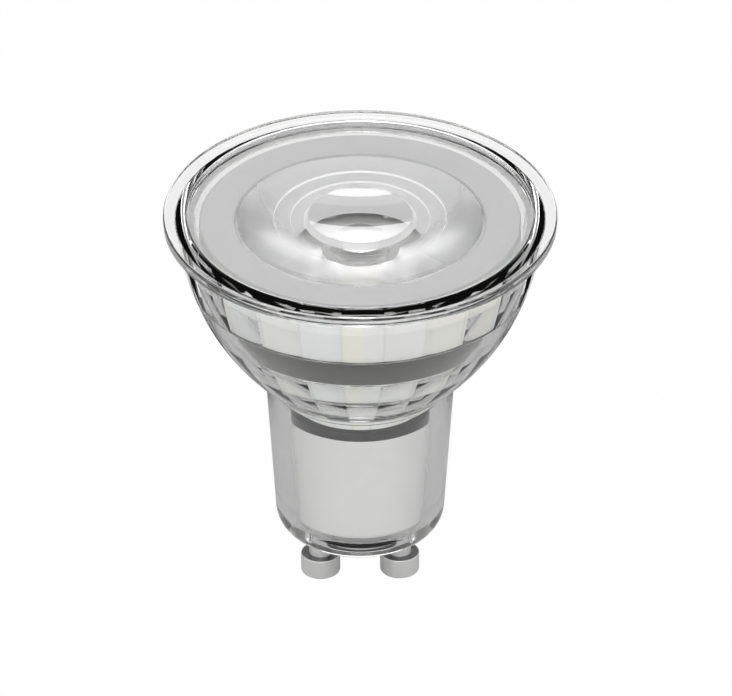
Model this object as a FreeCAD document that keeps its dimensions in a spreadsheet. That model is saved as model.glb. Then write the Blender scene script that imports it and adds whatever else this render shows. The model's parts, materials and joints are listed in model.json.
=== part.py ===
import FreeCAD, Part
import math
import os
import Sketcher

# LED spotlight lamp with a pressed glass reflector body and a twist-lock two-pin cap.
# Millimetres, +Z up. The origin lies on the optical axis, level with the ends of the pins.
# X runs through both pins and the lens looks along +Z.

SIZES = {
    # pressed glass
    "rim_wall": 2.85,
    "rim_band": 1.4,
    "rim_round": 0.35,
    "lip_wall": 1.25,
    "bowl_arc": 34.63,
    "bowl_wall": 2.0,
    "neck_flare": 1.58,
    "neck_round": 1.2,
    "base_height": 22.55,
    "foot_margin": 5.42,
    "foot_round": 3.5,
    "base_wall": 2.65,
    "base_floor": 2.45,
    "cavity_round": 0.7,
    # facet rows pressed into the inside of the bowl, from the neck up
    "facet_count": 24,
    "throat_row": 2.7,
    "lower_row": 3.7,
    "middle_row": 3.7,
    "smooth_band": 4.4,
    "upper_row": 4.6,
    "rim_row": 2.65,
    # front lens
    "lens_radius": 22.0,
    "lens_recess": 0.2,
    "lens_flange": 1.5,
    "lens_gap": 0.15,
    "glue_height": 0.25,
    "glue_width": 0.7,
    "collimator_radius": 15.6,
    "collimator_arc": 30.0,
    "collimator_lip": 1.0,
    "collimator_lift": 0.25,
    "pocket_gap": 0.36,
    "pocket_taper": 0.5,
    "pocket_depth": 3.75,
    "pocket_dome": 6.3,
    "lens_dish": 0.2,
    "ring_step": 0.2,
    "outer_ring": 2.1,
    "inner_ring": 1.74,
    "disc_groove": 0.46,
    "disc_radius": 6.6,
    "disc_rise": 0.15,
    "disc_arc": 40.0,
    # lens holder
    "holder_gap": 0.3,
    "holder_wall": 0.9,
    "holder_plate": 1.2,
    "holder_fit": 0.3,
    "holder_seat_gap": 0.05,
    "cup_gap": 0.5,
    "cup_lift": 0.3,
    # heat sink
    "sink_gap": 0.08,
    "sink_wall": 1.2,
    "sink_floor": 1.2,
    "sink_round": 0.8,
    # light source
    "pad_thickness": 0.2,
    "pad_radius": 6.5,
    "board_radius": 12.0,
    "board_thickness": 1.0,
    "package_side": 5.0,
    "package_height": 0.7,
    "phosphor_radius": 1.9,
    "phosphor_height": 0.3,
    "screw_offset": 9.2,
    "screw_radius": 0.95,
    "screw_head_radius": 1.8,
    "screw_head_height": 1.1,
    "screw_length": 3.4,
    "screw_clearance": 0.05,
    # contact pins
    "pin_spacing": 10.0,
    "pin_reach": 6.95,
    "pin_head_radius": 2.475,
    "pin_head_height": 2.75,
    "pin_head_round": 0.4,
    "pin_neck_radius": 1.45,
    "pin_shank_radius": 1.2,
    "pin_shank_length": 5.0,
    "pin_clearance": 0.05,
    "washer_radius": 1.9,
    "washer_thickness": 0.5,
    "washer_fit": 0.02,
    # driver housing
    "housing_gap": 0.15,
    "housing_lift": 0.1,
    "housing_wall": 0.9,
    "housing_height": 15.5,
    "housing_round": 0.9,
    "rib_thickness": 0.8,
    "rib_reach": 0.25,
    "cap_thickness": 1.2,
    "cap_spigot": 1.0,
    "cap_spigot_wall": 1.0,
    "cap_fit": 0.1,
    "slot_width": 10.6,
    "slot_depth": 3.2,
    "slot_place": 3.1,
    # funnel between the driver and the heat sink
    "funnel_gap": 0.3,
    "funnel_wall": 0.9,
    "funnel_inset": 0.9,
    # driver electronics
    "driver_board_gap": 0.6,
    "driver_board_drop": 1.75,
    "driver_board_thickness": 1.0,
    "driver_board_lift": 0.2,
    "board_slide": 0.1,
    "capacitor_radius": 2.8,
    "capacitor_height": 9.4,
    "capacitor_lift": 0.9,
    "seat_gap": 0.05,
    "choke_radius": 2.5,
    "choke_height": 4.6,
    "choke_lift": 6.0,
    "choke_flange": 0.8,
    "choke_winding": 0.5,
    "bridge_width": 4.4,
    "bridge_depth": 1.4,
    "bridge_height": 3.8,
    "bridge_margin": 3.58,
    "chip_width": 3.9,
    "chip_depth": 1.4,
    "chip_height": 4.9,
    "chip_margin": 3.58,
    "leaded_lift": 0.8,
    "lead_width": 0.4,
    "lead_reach": 0.7,
    "lead_thickness": 0.2,
    "fuse_radius": 1.05,
    "fuse_waist": 0.9,
    "fuse_length": 5.4,
    "fuse_margin": 1.98,
    "fuse_lift": 5.6,
    "film_width": 2.4,
    "film_depth": 2.8,
    "film_height": 4.6,
    "film_margin": 2.18,
    "film_lift": 6.4,
    "film_round": 0.3,
    "smd_length": 1.6,
    "smd_width": 0.8,
    "smd_height": 0.6,
    "smd_margin": 1.88,
    "smd_lift": 4.9,
    "smd_pitch": 1.3,
    # wires
    "mains_wire_radius": 0.4,
    "mains_wire_start": 0.9,
    "mains_wire_end": 4.0,
    "led_wire_radius": 0.45,
    "led_wire_place": 4.0,
    "led_wire_clearance": 0.4,
    "led_wire_drop": 0.2,
    "led_wire_hole": 8.5,
    "wire_clearance": 0.25,
    "joint_radius": 1.2,
    "joint_height": 0.8,
}

doc = FreeCAD.newDocument("led_spotlight_bulb")
sheet = doc.addObject("Spreadsheet::Sheet", "Sizes")
for row, (alias, size) in enumerate(SIZES.items(), start=1):
    sheet.set(f"A{row}", str(size))
    sheet.setAlias(f"A{row}", alias)
doc.recompute()


# Expressions: a size name becomes a reference to its cell.
def cell(alias):
    return f"Sizes.{alias}"


def number(expression):
    return float(sheet.evalExpression(expression))


def total(*terms):
    return "(" + " + ".join(terms) + ")"


def less(first, *others):
    return "(" + " - ".join((first,) + others) + ")"


def half(term):
    return f"({term} / 2)"


def negative(term):
    return f"(0 - {term})"


# The pins set the size of the base, and the lens sets the size of the rim.
PIN_PLACE = half(cell("pin_spacing"))
FOOT_RADIUS = total(PIN_PLACE, cell("foot_margin"))
NECK_RADIUS = total(FOOT_RADIUS, cell("neck_flare"))
RECESS_RADIUS = total(cell("lens_radius"), cell("lens_gap"))
LIP_RADIUS = total(RECESS_RADIUS, cell("lip_wall"))
RIM_RADIUS = total(RECESS_RADIUS, cell("rim_wall"))
POCKET_RADIUS = total(f"({cell('package_side')} / sqrt(2))", cell("pocket_gap"))
COLLIMATOR_FOOT = total(POCKET_RADIUS, cell("collimator_lip"))

# Heights above the ends of the pins, from the foot of the glass up to its rim.
FOOT = cell("pin_reach")
CAVITY_FLOOR = total(FOOT, cell("base_floor"))
NECK = total(FOOT, cell("base_height"))
LOWER_ROW_FOOT = total(NECK, cell("throat_row"))
MIDDLE_ROW_FOOT = total(LOWER_ROW_FOOT, cell("lower_row"))
BAND_FOOT = total(MIDDLE_ROW_FOOT, cell("middle_row"))
BAND_TOP = total(BAND_FOOT, cell("smooth_band"))
UPPER_ROW_TOP = total(BAND_TOP, cell("upper_row"))
LENS_SEAT = total(UPPER_ROW_TOP, cell("rim_row"))
LENS_UNDERSIDE = total(LENS_SEAT, cell("glue_height"))
LENS_TOP = total(LENS_UNDERSIDE, cell("lens_flange"))
RIM = total(LENS_TOP, cell("lens_recess"))
BAND_UNDERSIDE = less(RIM, cell("rim_band"))

# Heights of what stands on the heat sink and on the floor of the base.
SINK_FLOOR_TOP = total(BAND_FOOT, cell("sink_floor"))
PAD_TOP = total(SINK_FLOOR_TOP, cell("pad_thickness"))
BOARD_TOP = total(PAD_TOP, cell("board_thickness"))
PACKAGE_TOP = total(BOARD_TOP, cell("package_height"))
LENS_FOOT = total(BOARD_TOP, cell("collimator_lift"))
HOUSING_FOOT = total(CAVITY_FLOOR, cell("washer_thickness"), cell("housing_lift"))
HOUSING_TOP = total(HOUSING_FOOT, cell("housing_height"))
CAP_TOP = total(HOUSING_TOP, cell("cap_thickness"))
SHANK_TOP = total(FOOT, cell("pin_shank_length"))
DRIVER_FOOT = total(SHANK_TOP, cell("driver_board_lift"))
DRIVER_TOP = less(HOUSING_TOP, cell("driver_board_drop"))
DRIVER_FACE = half(cell("driver_board_thickness"))

# The outside of the collimator is one arc, and the cup of the holder follows it.
COLLIMATOR_RISE = less(LENS_UNDERSIDE, LENS_FOOT)
COLLIMATOR_SPREAD = less(cell("collimator_radius"), COLLIMATOR_FOOT)
COLLIMATOR_CHORD = f"sqrt({COLLIMATOR_RISE} ^ 2 + {COLLIMATOR_SPREAD} ^ 2)"
COLLIMATOR_HALF = f"sqrt({cell('collimator_arc')} ^ 2 - ({COLLIMATOR_CHORD} / 2) ^ 2)"
COLLIMATOR_OFFSET = f"({COLLIMATOR_HALF} / {COLLIMATOR_CHORD})"
COLLIMATOR_INSET = less(f"({COLLIMATOR_OFFSET} * {COLLIMATOR_RISE})",
                        half(total(COLLIMATOR_FOOT, cell("collimator_radius"))))
COLLIMATOR_CENTRE = total(half(total(LENS_FOOT, LENS_UNDERSIDE)),
                          f"({COLLIMATOR_OFFSET} * {COLLIMATOR_SPREAD})")
CUP_FOOT = total(BOARD_TOP, cell("screw_head_height"), cell("cup_lift"))


def around_collimator(height, *gaps):
    reach = total(cell("collimator_arc"), *gaps)
    return f"(sqrt({reach} ^ 2 - {less(COLLIMATOR_CENTRE, height)} ^ 2) - {COLLIMATOR_INSET})"


# The outside of the bowl is one arc from the neck to the lip, and its inside is a second arc
# about the same centre.
BOWL_RISE = less(BAND_UNDERSIDE, NECK)
BOWL_SPREAD = less(LIP_RADIUS, NECK_RADIUS)
BOWL_CHORD = f"sqrt({BOWL_RISE} ^ 2 + {BOWL_SPREAD} ^ 2)"
BOWL_OFFSET = f"(sqrt({cell('bowl_arc')} ^ 2 - ({BOWL_CHORD} / 2) ^ 2) / {BOWL_CHORD})"
ARC_INSET = less(f"({BOWL_OFFSET} * {BOWL_RISE})", half(total(NECK_RADIUS, LIP_RADIUS)))
ARC_HEIGHT = total(half(total(NECK, BAND_UNDERSIDE)), f"({BOWL_OFFSET} * {BOWL_SPREAD})")


def inner_bowl(height):
    drop = less(ARC_HEIGHT, height)
    reach = less(cell("bowl_arc"), cell("bowl_wall"))
    return f"(sqrt({reach} ^ 2 - {drop} ^ 2) - {ARC_INSET})"


# The base tapers from the neck to the foot, and its cavity keeps the same wall all the way.
def base_radius(height):
    share = f"({less(height, FOOT)} / {cell('base_height')})"
    return f"({FOOT_RADIUS} + {cell('neck_flare')} * {share})"


def cavity_radius(height):
    return less(base_radius(height), cell("base_wall"))


# Where the inner arc comes down to the width of the cavity.
THROAT_REACH = less(cell("bowl_arc"), cell("bowl_wall"))
THROAT_ACROSS = total(cavity_radius(NECK), ARC_INSET)
THROAT = f"({ARC_HEIGHT} - sqrt({THROAT_REACH} ^ 2 - {THROAT_ACROSS} ^ 2))"


def facet_inradius(height):
    return f"({inner_bowl(height)} * cos(180 / {cell('facet_count')}))"


def housing_radius(height):
    return less(cavity_radius(height), cell("housing_gap"))


def housing_bore(height):
    return less(housing_radius(height), cell("housing_wall"))


DRIVER_EDGE = less(housing_bore(DRIVER_FOOT), cell("driver_board_gap"))


# What sits on the driver board keeps its margin from the board's edge.
def driver_place(margin):
    return less(DRIVER_EDGE, cell(margin))


def origin_plane(body, role):
    for feature in body.Origin.OriginFeatures:
        if feature.Role == role:
            return feature
    raise ValueError(role)


def new_sketch(body, name, role, lift="0"):
    sketch = body.newObject("Sketcher::SketchObject", name)
    sketch.AttachmentSupport = [(origin_plane(body, role), "")]
    sketch.MapMode = "FlatFace"
    sketch.setExpression("AttachmentOffset.Base.z", lift)
    return sketch


def hold_point(sketch, geometry, end, across, up):
    for kind, size in (("DistanceX", across), ("DistanceY", up)):
        index = sketch.addConstraint(
            Sketcher.Constraint(kind, -1, 1, geometry, end, number(size))
        )
        sketch.setExpression(f"Constraints[{index}]", size)


# A closed outline. Each corner is (across, up), or (across, up, arc radius, side) where the edge
# to the next corner is an arc that bulges to the left (1) or to the right (-1) of its chord.
def draw_outline(sketch, corners):
    spots = [FreeCAD.Vector(number(c[0]), number(c[1]), 0) for c in corners]
    ends = []
    for place, corner in enumerate(corners):
        first = spots[place]
        last = spots[(place + 1) % len(spots)]
        if len(corner) == 2:
            index = sketch.addGeometry(Part.LineSegment(first, last), False)
        else:
            chord = last - first
            radius = number(corner[2])
            sagitta = radius - math.sqrt(radius ** 2 - (chord.Length / 2) ** 2)
            side = FreeCAD.Vector(-chord.y, chord.x, 0).normalize() * (corner[3] * sagitta)
            crown = first + chord / 2 + side
            index = sketch.addGeometry(Part.Arc(first, crown, last), False)
            bend = sketch.addConstraint(Sketcher.Constraint("Radius", index, radius))
            sketch.setExpression(f"Constraints[{bend}]", corner[2])
        begins = sketch.getPoint(index, 1).distanceToPoint(first)
        finishes = sketch.getPoint(index, 2).distanceToPoint(first)
        ends.append((1, 2) if begins <= finishes else (2, 1))
    for place in range(len(corners)):
        following = (place + 1) % len(corners)
        sketch.addConstraint(
            Sketcher.Constraint("Coincident", place, ends[place][1], following, ends[following][0])
        )
    for place, corner in enumerate(corners):
        hold_point(sketch, place, ends[place][0], corner[0], corner[1])


def new_body(label):
    body = doc.addObject("PartDesign::Body", label)
    body.Label = label
    return body


# A turned or pressed round form: its half section, with radii across and heights up.
def turned(label, corners):
    body = new_body(label)
    sketch = new_sketch(body, label + "_section", "XZ_Plane")
    draw_outline(sketch, corners)
    turn = body.newObject("PartDesign::Revolution", label + "_turn")
    turn.Profile = sketch
    turn.ReferenceAxis = (sketch, ["V_Axis"])
    turn.Angle = 360
    sketch.Visibility = False
    doc.recompute()
    return body


def place_at(body, across, depth, up="0"):
    body.setExpression("Placement.Base.x", across)
    body.setExpression("Placement.Base.y", depth)
    body.setExpression("Placement.Base.z", up)
    return body


# Circular edges of a round body, found by their radius and height.
def ring_edge(body, radius, height):
    best = None
    for index, edge in enumerate(body.Shape.Edges, start=1):
        curve = edge.Curve
        if not hasattr(curve, "Radius") or edge.Length < math.pi * curve.Radius:
            continue
        miss = abs(curve.Radius - number(radius)) + abs(curve.Center.z - number(height))
        if best is None or miss < best[0]:
            best = (miss, f"Edge{index}")
    return best[1]


def rounded(body, name, size, *rings):
    edges = [ring_edge(body, radius, height) for radius, height in rings]
    base = body.Tip
    fillet = body.newObject("PartDesign::Fillet", name)
    fillet.Base = (base, edges)
    fillet.setExpression("Radius", size)
    doc.recompute()
    return fillet


def padded(body, name, corners, foot, height):
    sketch = new_sketch(body, name + "_outline", "XY_Plane", foot)
    draw_outline(sketch, corners)
    pad = body.newObject("PartDesign::Pad", name)
    pad.Profile = sketch
    pad.setExpression("Length", height)
    sketch.Visibility = False
    doc.recompute()
    return pad


def draw_circle(sketch, across, depth, radius):
    centre = FreeCAD.Vector(number(across), number(depth), 0)
    circle = Part.Circle(centre, FreeCAD.Vector(0, 0, 1), number(radius))
    index = sketch.addGeometry(circle, False)
    size = sketch.addConstraint(Sketcher.Constraint("Radius", index, number(radius)))
    sketch.setExpression(f"Constraints[{size}]", radius)
    hold_point(sketch, index, 3, across, depth)


def round_pad(body, name, circles, foot, height):
    sketch = new_sketch(body, name + "_outline", "XY_Plane", foot)
    for across, depth, radius in circles:
        draw_circle(sketch, across, depth, radius)
    pad = body.newObject("PartDesign::Pad", name)
    pad.Profile = sketch
    pad.setExpression("Length", height)
    sketch.Visibility = False
    doc.recompute()
    return pad


# Holes cut downwards from a level. The volume shows that the cut met the body.
def drilled(body, name, circles, level):
    before = body.Shape.Volume
    sketch = new_sketch(body, name + "_outline", "XY_Plane", level)
    for across, depth, radius in circles:
        draw_circle(sketch, across, depth, radius)
    cut = body.newObject("PartDesign::Pocket", name)
    cut.Profile = sketch
    cut.Type = "ThroughAll"
    sketch.Visibility = False
    doc.recompute()
    if body.Shape.Volume >= before:
        raise ValueError(name)
    return cut


def box_corners(left, right, front, back):
    return [(left, front), (right, front), (right, back), (left, back)]


def solid_box(name, left, right, front, back, foot, top):
    box = doc.addObject("Part::Box", name)
    box.setExpression("Length", less(right, left))
    box.setExpression("Width", less(back, front))
    box.setExpression("Height", less(top, foot))
    box.setExpression("Placement.Base.x", left)
    box.setExpression("Placement.Base.y", front)
    box.setExpression("Placement.Base.z", foot)
    return box


def fused(name, parts):
    whole = doc.addObject("Part::MultiFuse", name)
    whole.Shapes = parts
    whole.Label = name
    doc.recompute()
    return whole


def cut_from(name, base, tool):
    result = doc.addObject("Part::Cut", name)
    result.Base = base
    result.Tool = tool
    result.Label = name
    doc.recompute()
    return result


# One row of flat facets: a straight loft between two regular polygons. They are turned by half
# a facet, so that a flat facet and not a corner faces the front.
def facet_row(name, top, foot):
    rings = []
    for place, height in (("top", top), ("foot", foot)):
        ring = doc.addObject("Part::RegularPolygon", f"{name}_{place}")
        ring.setExpression("Polygon", cell("facet_count"))
        ring.setExpression("Circumradius", inner_bowl(height))
        ring.setExpression("Placement.Base.z", height)
        ring.setExpression("Placement.Rotation.Angle", f"180 / {cell('facet_count')}")
        rings.append(ring)
    row = doc.addObject("Part::Loft", name)
    row.Sections = rings
    row.Solid = True
    row.Ruled = True
    return row


# The glass body: rim, bowl, neck and pin base are pressed as one piece.
def make_glass():
    blank = turned("glass_blank", [
        ("0", FOOT),
        (FOOT_RADIUS, FOOT),
        (NECK_RADIUS, NECK, cell("bowl_arc"), -1),
        (LIP_RADIUS, BAND_UNDERSIDE),
        (RIM_RADIUS, BAND_UNDERSIDE),
        (RIM_RADIUS, RIM),
        ("0", RIM),
    ])
    rounded(blank, "foot_rounding", cell("foot_round"), (FOOT_RADIUS, FOOT))
    rounded(blank, "neck_rounding", cell("neck_round"), (NECK_RADIUS, NECK))
    rounded(blank, "rim_rounding", cell("rim_round"),
            (RIM_RADIUS, RIM), (RIM_RADIUS, BAND_UNDERSIDE))
    neck_cavity = turned("neck_cavity", [
        ("0", CAVITY_FLOOR),
        (cavity_radius(CAVITY_FLOOR), CAVITY_FLOOR),
        (cavity_radius(THROAT), THROAT),
        ("0", THROAT),
    ])
    rounded(neck_cavity, "cavity_rounding", cell("cavity_round"),
            (cavity_radius(CAVITY_FLOOR), CAVITY_FLOOR))
    band = turned("band_cavity", [
        ("0", BAND_FOOT),
        (inner_bowl(BAND_FOOT), BAND_FOOT),
        (inner_bowl(BAND_TOP), BAND_TOP),
        ("0", BAND_TOP),
    ])
    recess = turned("lens_cavity", [
        ("0", LENS_SEAT),
        (RECESS_RADIUS, LENS_SEAT),
        (RECESS_RADIUS, total(RIM, cell("rim_band"))),
        ("0", total(RIM, cell("rim_band"))),
    ])
    rows = [
        facet_row("rim_facets", LENS_SEAT, UPPER_ROW_TOP),
        facet_row("upper_facets", UPPER_ROW_TOP, BAND_TOP),
        facet_row("middle_facets", BAND_FOOT, MIDDLE_ROW_FOOT),
        facet_row("lower_facets", MIDDLE_ROW_FOOT, LOWER_ROW_FOOT),
        facet_row("throat_facets", LOWER_ROW_FOOT, THROAT),
    ]
    holes = new_body("pin_holes")
    hole_radius = total(cell("pin_shank_radius"), cell("pin_clearance"))
    round_pad(holes, "pin_hole_pair",
              [(PIN_PLACE, "0", hole_radius), (negative(PIN_PLACE), "0", hole_radius)],
              less(FOOT, cell("base_floor")), total(cell("base_floor"), cell("base_floor"),
                                                    cell("base_floor")))
    hollow = fused("glass_hollow", [neck_cavity, band, recess, holes] + rows)
    return cut_from("glass_envelope", blank, hollow)


# Moulded lens: flat flange, stepped rings, raised central disc and a collimator below.
def make_lens():
    dish = less(LENS_TOP, cell("lens_dish"))
    step = cell("ring_step")
    inner = total(cell("disc_radius"), cell("disc_groove"))
    middle = total(inner, cell("inner_ring"))
    outer = total(middle, cell("outer_ring"))
    disc_top = total(LENS_TOP, cell("disc_rise"))
    disc_dip = f"({cell('disc_arc')} - sqrt({cell('disc_arc')} ^ 2 - {cell('disc_radius')} ^ 2))"
    disc_foot = less(dish, step, step, step)
    pocket_top = total(LENS_FOOT, cell("pocket_depth"))
    pocket_mouth = less(POCKET_RADIUS, cell("pocket_taper"))
    pocket_rise = (
        f"({cell('pocket_dome')} - sqrt({cell('pocket_dome')} ^ 2 - {pocket_mouth} ^ 2))"
    )
    return turned("front_lens", [
        ("0", less(pocket_top, pocket_rise), cell("pocket_dome"), -1),
        (pocket_mouth, pocket_top),
        (POCKET_RADIUS, LENS_FOOT),
        (COLLIMATOR_FOOT, LENS_FOOT, cell("collimator_arc"), -1),
        (cell("collimator_radius"), LENS_UNDERSIDE),
        (cell("lens_radius"), LENS_UNDERSIDE),
        (cell("lens_radius"), LENS_TOP),
        (cell("collimator_radius"), LENS_TOP),
        (outer, dish),
        (outer, less(dish, step)),
        (middle, less(dish, step)),
        (middle, less(dish, step, step)),
        (inner, less(dish, step, step)),
        (inner, disc_foot),
        (cell("disc_radius"), disc_foot),
        (cell("disc_radius"), disc_top, cell("disc_arc"), 1),
        ("0", less(disc_top, disc_dip)),
    ])


def make_glue():
    outer = less(cell("lens_radius"), cell("lens_gap"))
    inner = less(outer, cell("glue_width"))
    return turned("lens_adhesive", [
        (inner, LENS_SEAT),
        (outer, LENS_SEAT),
        (outer, LENS_UNDERSIDE),
        (inner, LENS_UNDERSIDE),
    ])


# Pale moulded holder: a plate under the lens flange, a skirt that stands on the heat sink and
# a cup around the collimator that ends just above the screw heads.
def make_holder():
    top = less(LENS_UNDERSIDE, cell("holder_seat_gap"))
    plate_foot = less(top, cell("holder_plate"))
    opening = total(cell("collimator_radius"), cell("holder_fit"))
    shoulder = less(facet_inradius(UPPER_ROW_TOP), cell("holder_gap"))
    foot = less(facet_inradius(BAND_TOP), cell("holder_gap"))
    return turned("lens_holder", [
        (less(foot, cell("holder_wall")), BAND_TOP),
        (foot, BAND_TOP),
        (shoulder, UPPER_ROW_TOP),
        (shoulder, top),
        (opening, top),
        (opening, plate_foot, total(cell("collimator_arc"), cell("cup_gap")), 1),
        (around_collimator(CUP_FOOT, cell("cup_gap")), CUP_FOOT),
        (around_collimator(CUP_FOOT, cell("cup_gap"), cell("holder_wall")), CUP_FOOT,
         total(cell("collimator_arc"), cell("cup_gap"), cell("holder_wall")), -1),
        (total(opening, cell("holder_wall")), plate_foot),
        (less(shoulder, cell("holder_wall")), plate_foot),
        (less(shoulder, cell("holder_wall")), UPPER_ROW_TOP),
    ])


# Metal dish: its skirt seats on the smooth band inside the glass, between the facet rows.
def make_heat_sink():
    outer_foot = less(inner_bowl(BAND_FOOT), cell("sink_gap"))
    outer_top = less(inner_bowl(BAND_TOP), cell("sink_gap"))
    lean = f"(({outer_top} - {outer_foot}) / {cell('smooth_band')})"
    inner_foot = f"({outer_foot} + {lean} * {cell('sink_floor')} - {cell('sink_wall')})"
    dish = turned("heat_sink", [
        ("0", BAND_FOOT),
        (outer_foot, BAND_FOOT),
        (outer_top, BAND_TOP),
        (less(outer_top, cell("sink_wall")), BAND_TOP),
        (inner_foot, SINK_FLOOR_TOP),
        ("0", SINK_FLOOR_TOP),
    ])
    rounded(dish, "sink_rounding", cell("sink_round"), (inner_foot, SINK_FLOOR_TOP))
    drilled(dish, "sink_holes", screw_circles(cell("screw_clearance"))
            + led_wire_circles(), SINK_FLOOR_TOP)
    return dish


def screw_circles(clearance):
    radius = total(cell("screw_radius"), clearance)
    return [(cell("screw_offset"), "0", radius), (negative(cell("screw_offset")), "0", radius)]


def led_wire_circles():
    radius = total(cell("led_wire_radius"), cell("wire_clearance"))
    return [
        (cell("led_wire_place"), cell("led_wire_hole"), radius),
        (negative(cell("led_wire_place")), cell("led_wire_hole"), radius),
    ]


def make_light_source():
    pad = new_body("thermal_pad")
    round_pad(pad, "pad_disc", [("0", "0", cell("pad_radius"))], SINK_FLOOR_TOP,
              cell("pad_thickness"))
    board = new_body("led_board")
    round_pad(board, "board_disc", [("0", "0", cell("board_radius"))], PAD_TOP,
              cell("board_thickness"))
    drilled(board, "board_holes", screw_circles(cell("screw_clearance"))
            + led_wire_circles(), BOARD_TOP)
    package = new_body("led_package")
    side = half(cell("package_side"))
    padded(package, "package_block", box_corners(negative(side), side, negative(side), side),
           BOARD_TOP, cell("package_height"))
    phosphor = turned("led_phosphor", [
        ("0", PACKAGE_TOP),
        (cell("phosphor_radius"), PACKAGE_TOP),
        (cell("phosphor_radius"), total(PACKAGE_TOP, half(cell("phosphor_height")))),
        ("0", total(PACKAGE_TOP, cell("phosphor_height"))),
    ])
    return [pad, board, package, phosphor, make_screws()]


# Two pan head screws hold the board on the heat sink.
def make_screws():
    head_top = total(BOARD_TOP, cell("screw_head_height"))
    shank_foot = less(BOARD_TOP, cell("screw_length"))
    screws = []
    for name, place in (("left_screw", negative(cell("screw_offset"))),
                        ("right_screw", cell("screw_offset"))):
        screw = turned(name, [
            ("0", shank_foot),
            (cell("screw_radius"), shank_foot),
            (cell("screw_radius"), BOARD_TOP),
            (cell("screw_head_radius"), BOARD_TOP),
            (cell("screw_head_radius"), less(head_top, half(cell("screw_radius")))),
            (less(cell("screw_head_radius"), half(cell("screw_radius"))), head_top),
            ("0", head_top),
        ])
        screws.append(place_at(screw, place, "0"))
    return fused("board_screws", screws)


def make_pin(label, place):
    head_top = cell("pin_head_height")
    pin = turned(label, [
        ("0", "0"),
        (cell("pin_head_radius"), "0"),
        (cell("pin_head_radius"), head_top),
        (cell("pin_neck_radius"), head_top),
        (cell("pin_neck_radius"), FOOT),
        (cell("pin_shank_radius"), FOOT),
        (cell("pin_shank_radius"), SHANK_TOP),
        ("0", SHANK_TOP),
    ])
    rounded(pin, label + "_rounding", cell("pin_head_round"), (cell("pin_head_radius"), "0"))
    return place_at(pin, place, "0")


def make_washer(label, place):
    bore = total(cell("pin_shank_radius"), cell("washer_fit"))
    top = total(CAVITY_FLOOR, cell("washer_thickness"))
    washer = turned(label, [
        (bore, CAVITY_FLOOR),
        (cell("washer_radius"), CAVITY_FLOOR),
        (cell("washer_radius"), top),
        (bore, top),
    ])
    return place_at(washer, place, "0")


# Sleeve that lines the glass base, with a slot of two ribs each side for the driver board.
def make_housing():
    floor_top = total(HOUSING_FOOT, cell("housing_wall"))
    sleeve = turned("sleeve", [
        ("0", HOUSING_FOOT),
        (housing_radius(HOUSING_FOOT), HOUSING_FOOT),
        (housing_radius(HOUSING_TOP), HOUSING_TOP),
        (housing_bore(HOUSING_TOP), HOUSING_TOP),
        (housing_bore(floor_top), floor_top),
        ("0", floor_top),
    ])
    rounded(sleeve, "sleeve_rounding", cell("housing_round"),
            (housing_radius(HOUSING_FOOT), HOUSING_FOOT))
    hole = total(cell("pin_shank_radius"), cell("wire_clearance"))
    drilled(sleeve, "sleeve_holes", [(PIN_PLACE, "0", hole), (negative(PIN_PLACE), "0", hole)],
            floor_top)
    core = turned("rib_limit", [
        ("0", floor_top),
        (housing_radius(floor_top), floor_top),
        (housing_radius(DRIVER_TOP), DRIVER_TOP),
        ("0", DRIVER_TOP),
    ])
    tip = less(DRIVER_EDGE, cell("rib_reach"))
    near = total(DRIVER_FACE, cell("board_slide"))
    far = total(near, cell("rib_thickness"))
    reach = FOOT_RADIUS
    ribs = [
        solid_box("rib_1", tip, reach, near, far, DRIVER_FOOT, DRIVER_TOP),
        solid_box("rib_2", tip, reach, negative(far), negative(near), DRIVER_FOOT, DRIVER_TOP),
        solid_box("rib_3", negative(reach), negative(tip), near, far, DRIVER_FOOT, DRIVER_TOP),
        solid_box("rib_4", negative(reach), negative(tip), negative(far), negative(near),
                  DRIVER_FOOT, DRIVER_TOP),
    ]
    rib_set = fused("rib_set", ribs)
    trimmed = doc.addObject("Part::MultiCommon", "trimmed_ribs")
    trimmed.Shapes = [core, rib_set]
    return fused("driver_housing", [sleeve, trimmed])


def make_cap():
    spigot_foot = less(HOUSING_TOP, cell("cap_spigot"))
    spigot_outer = less(housing_bore(spigot_foot), cell("cap_fit"))
    disc = turned("cap_disc", [
        ("0", HOUSING_TOP),
        (less(spigot_outer, cell("cap_spigot_wall")), HOUSING_TOP),
        (less(spigot_outer, cell("cap_spigot_wall")), spigot_foot),
        (spigot_outer, spigot_foot),
        (spigot_outer, HOUSING_TOP),
        (housing_radius(HOUSING_TOP), HOUSING_TOP),
        (housing_radius(HOUSING_TOP), CAP_TOP),
        ("0", CAP_TOP),
    ])
    across = half(cell("slot_width"))
    deep = half(cell("slot_depth"))
    slot = solid_box("cap_slot", negative(across), across, less(cell("slot_place"), deep),
                     total(cell("slot_place"), deep), less(spigot_foot, cell("cap_spigot")),
                     total(CAP_TOP, cell("cap_thickness")))
    return cut_from("housing_cap", disc, slot)


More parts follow.
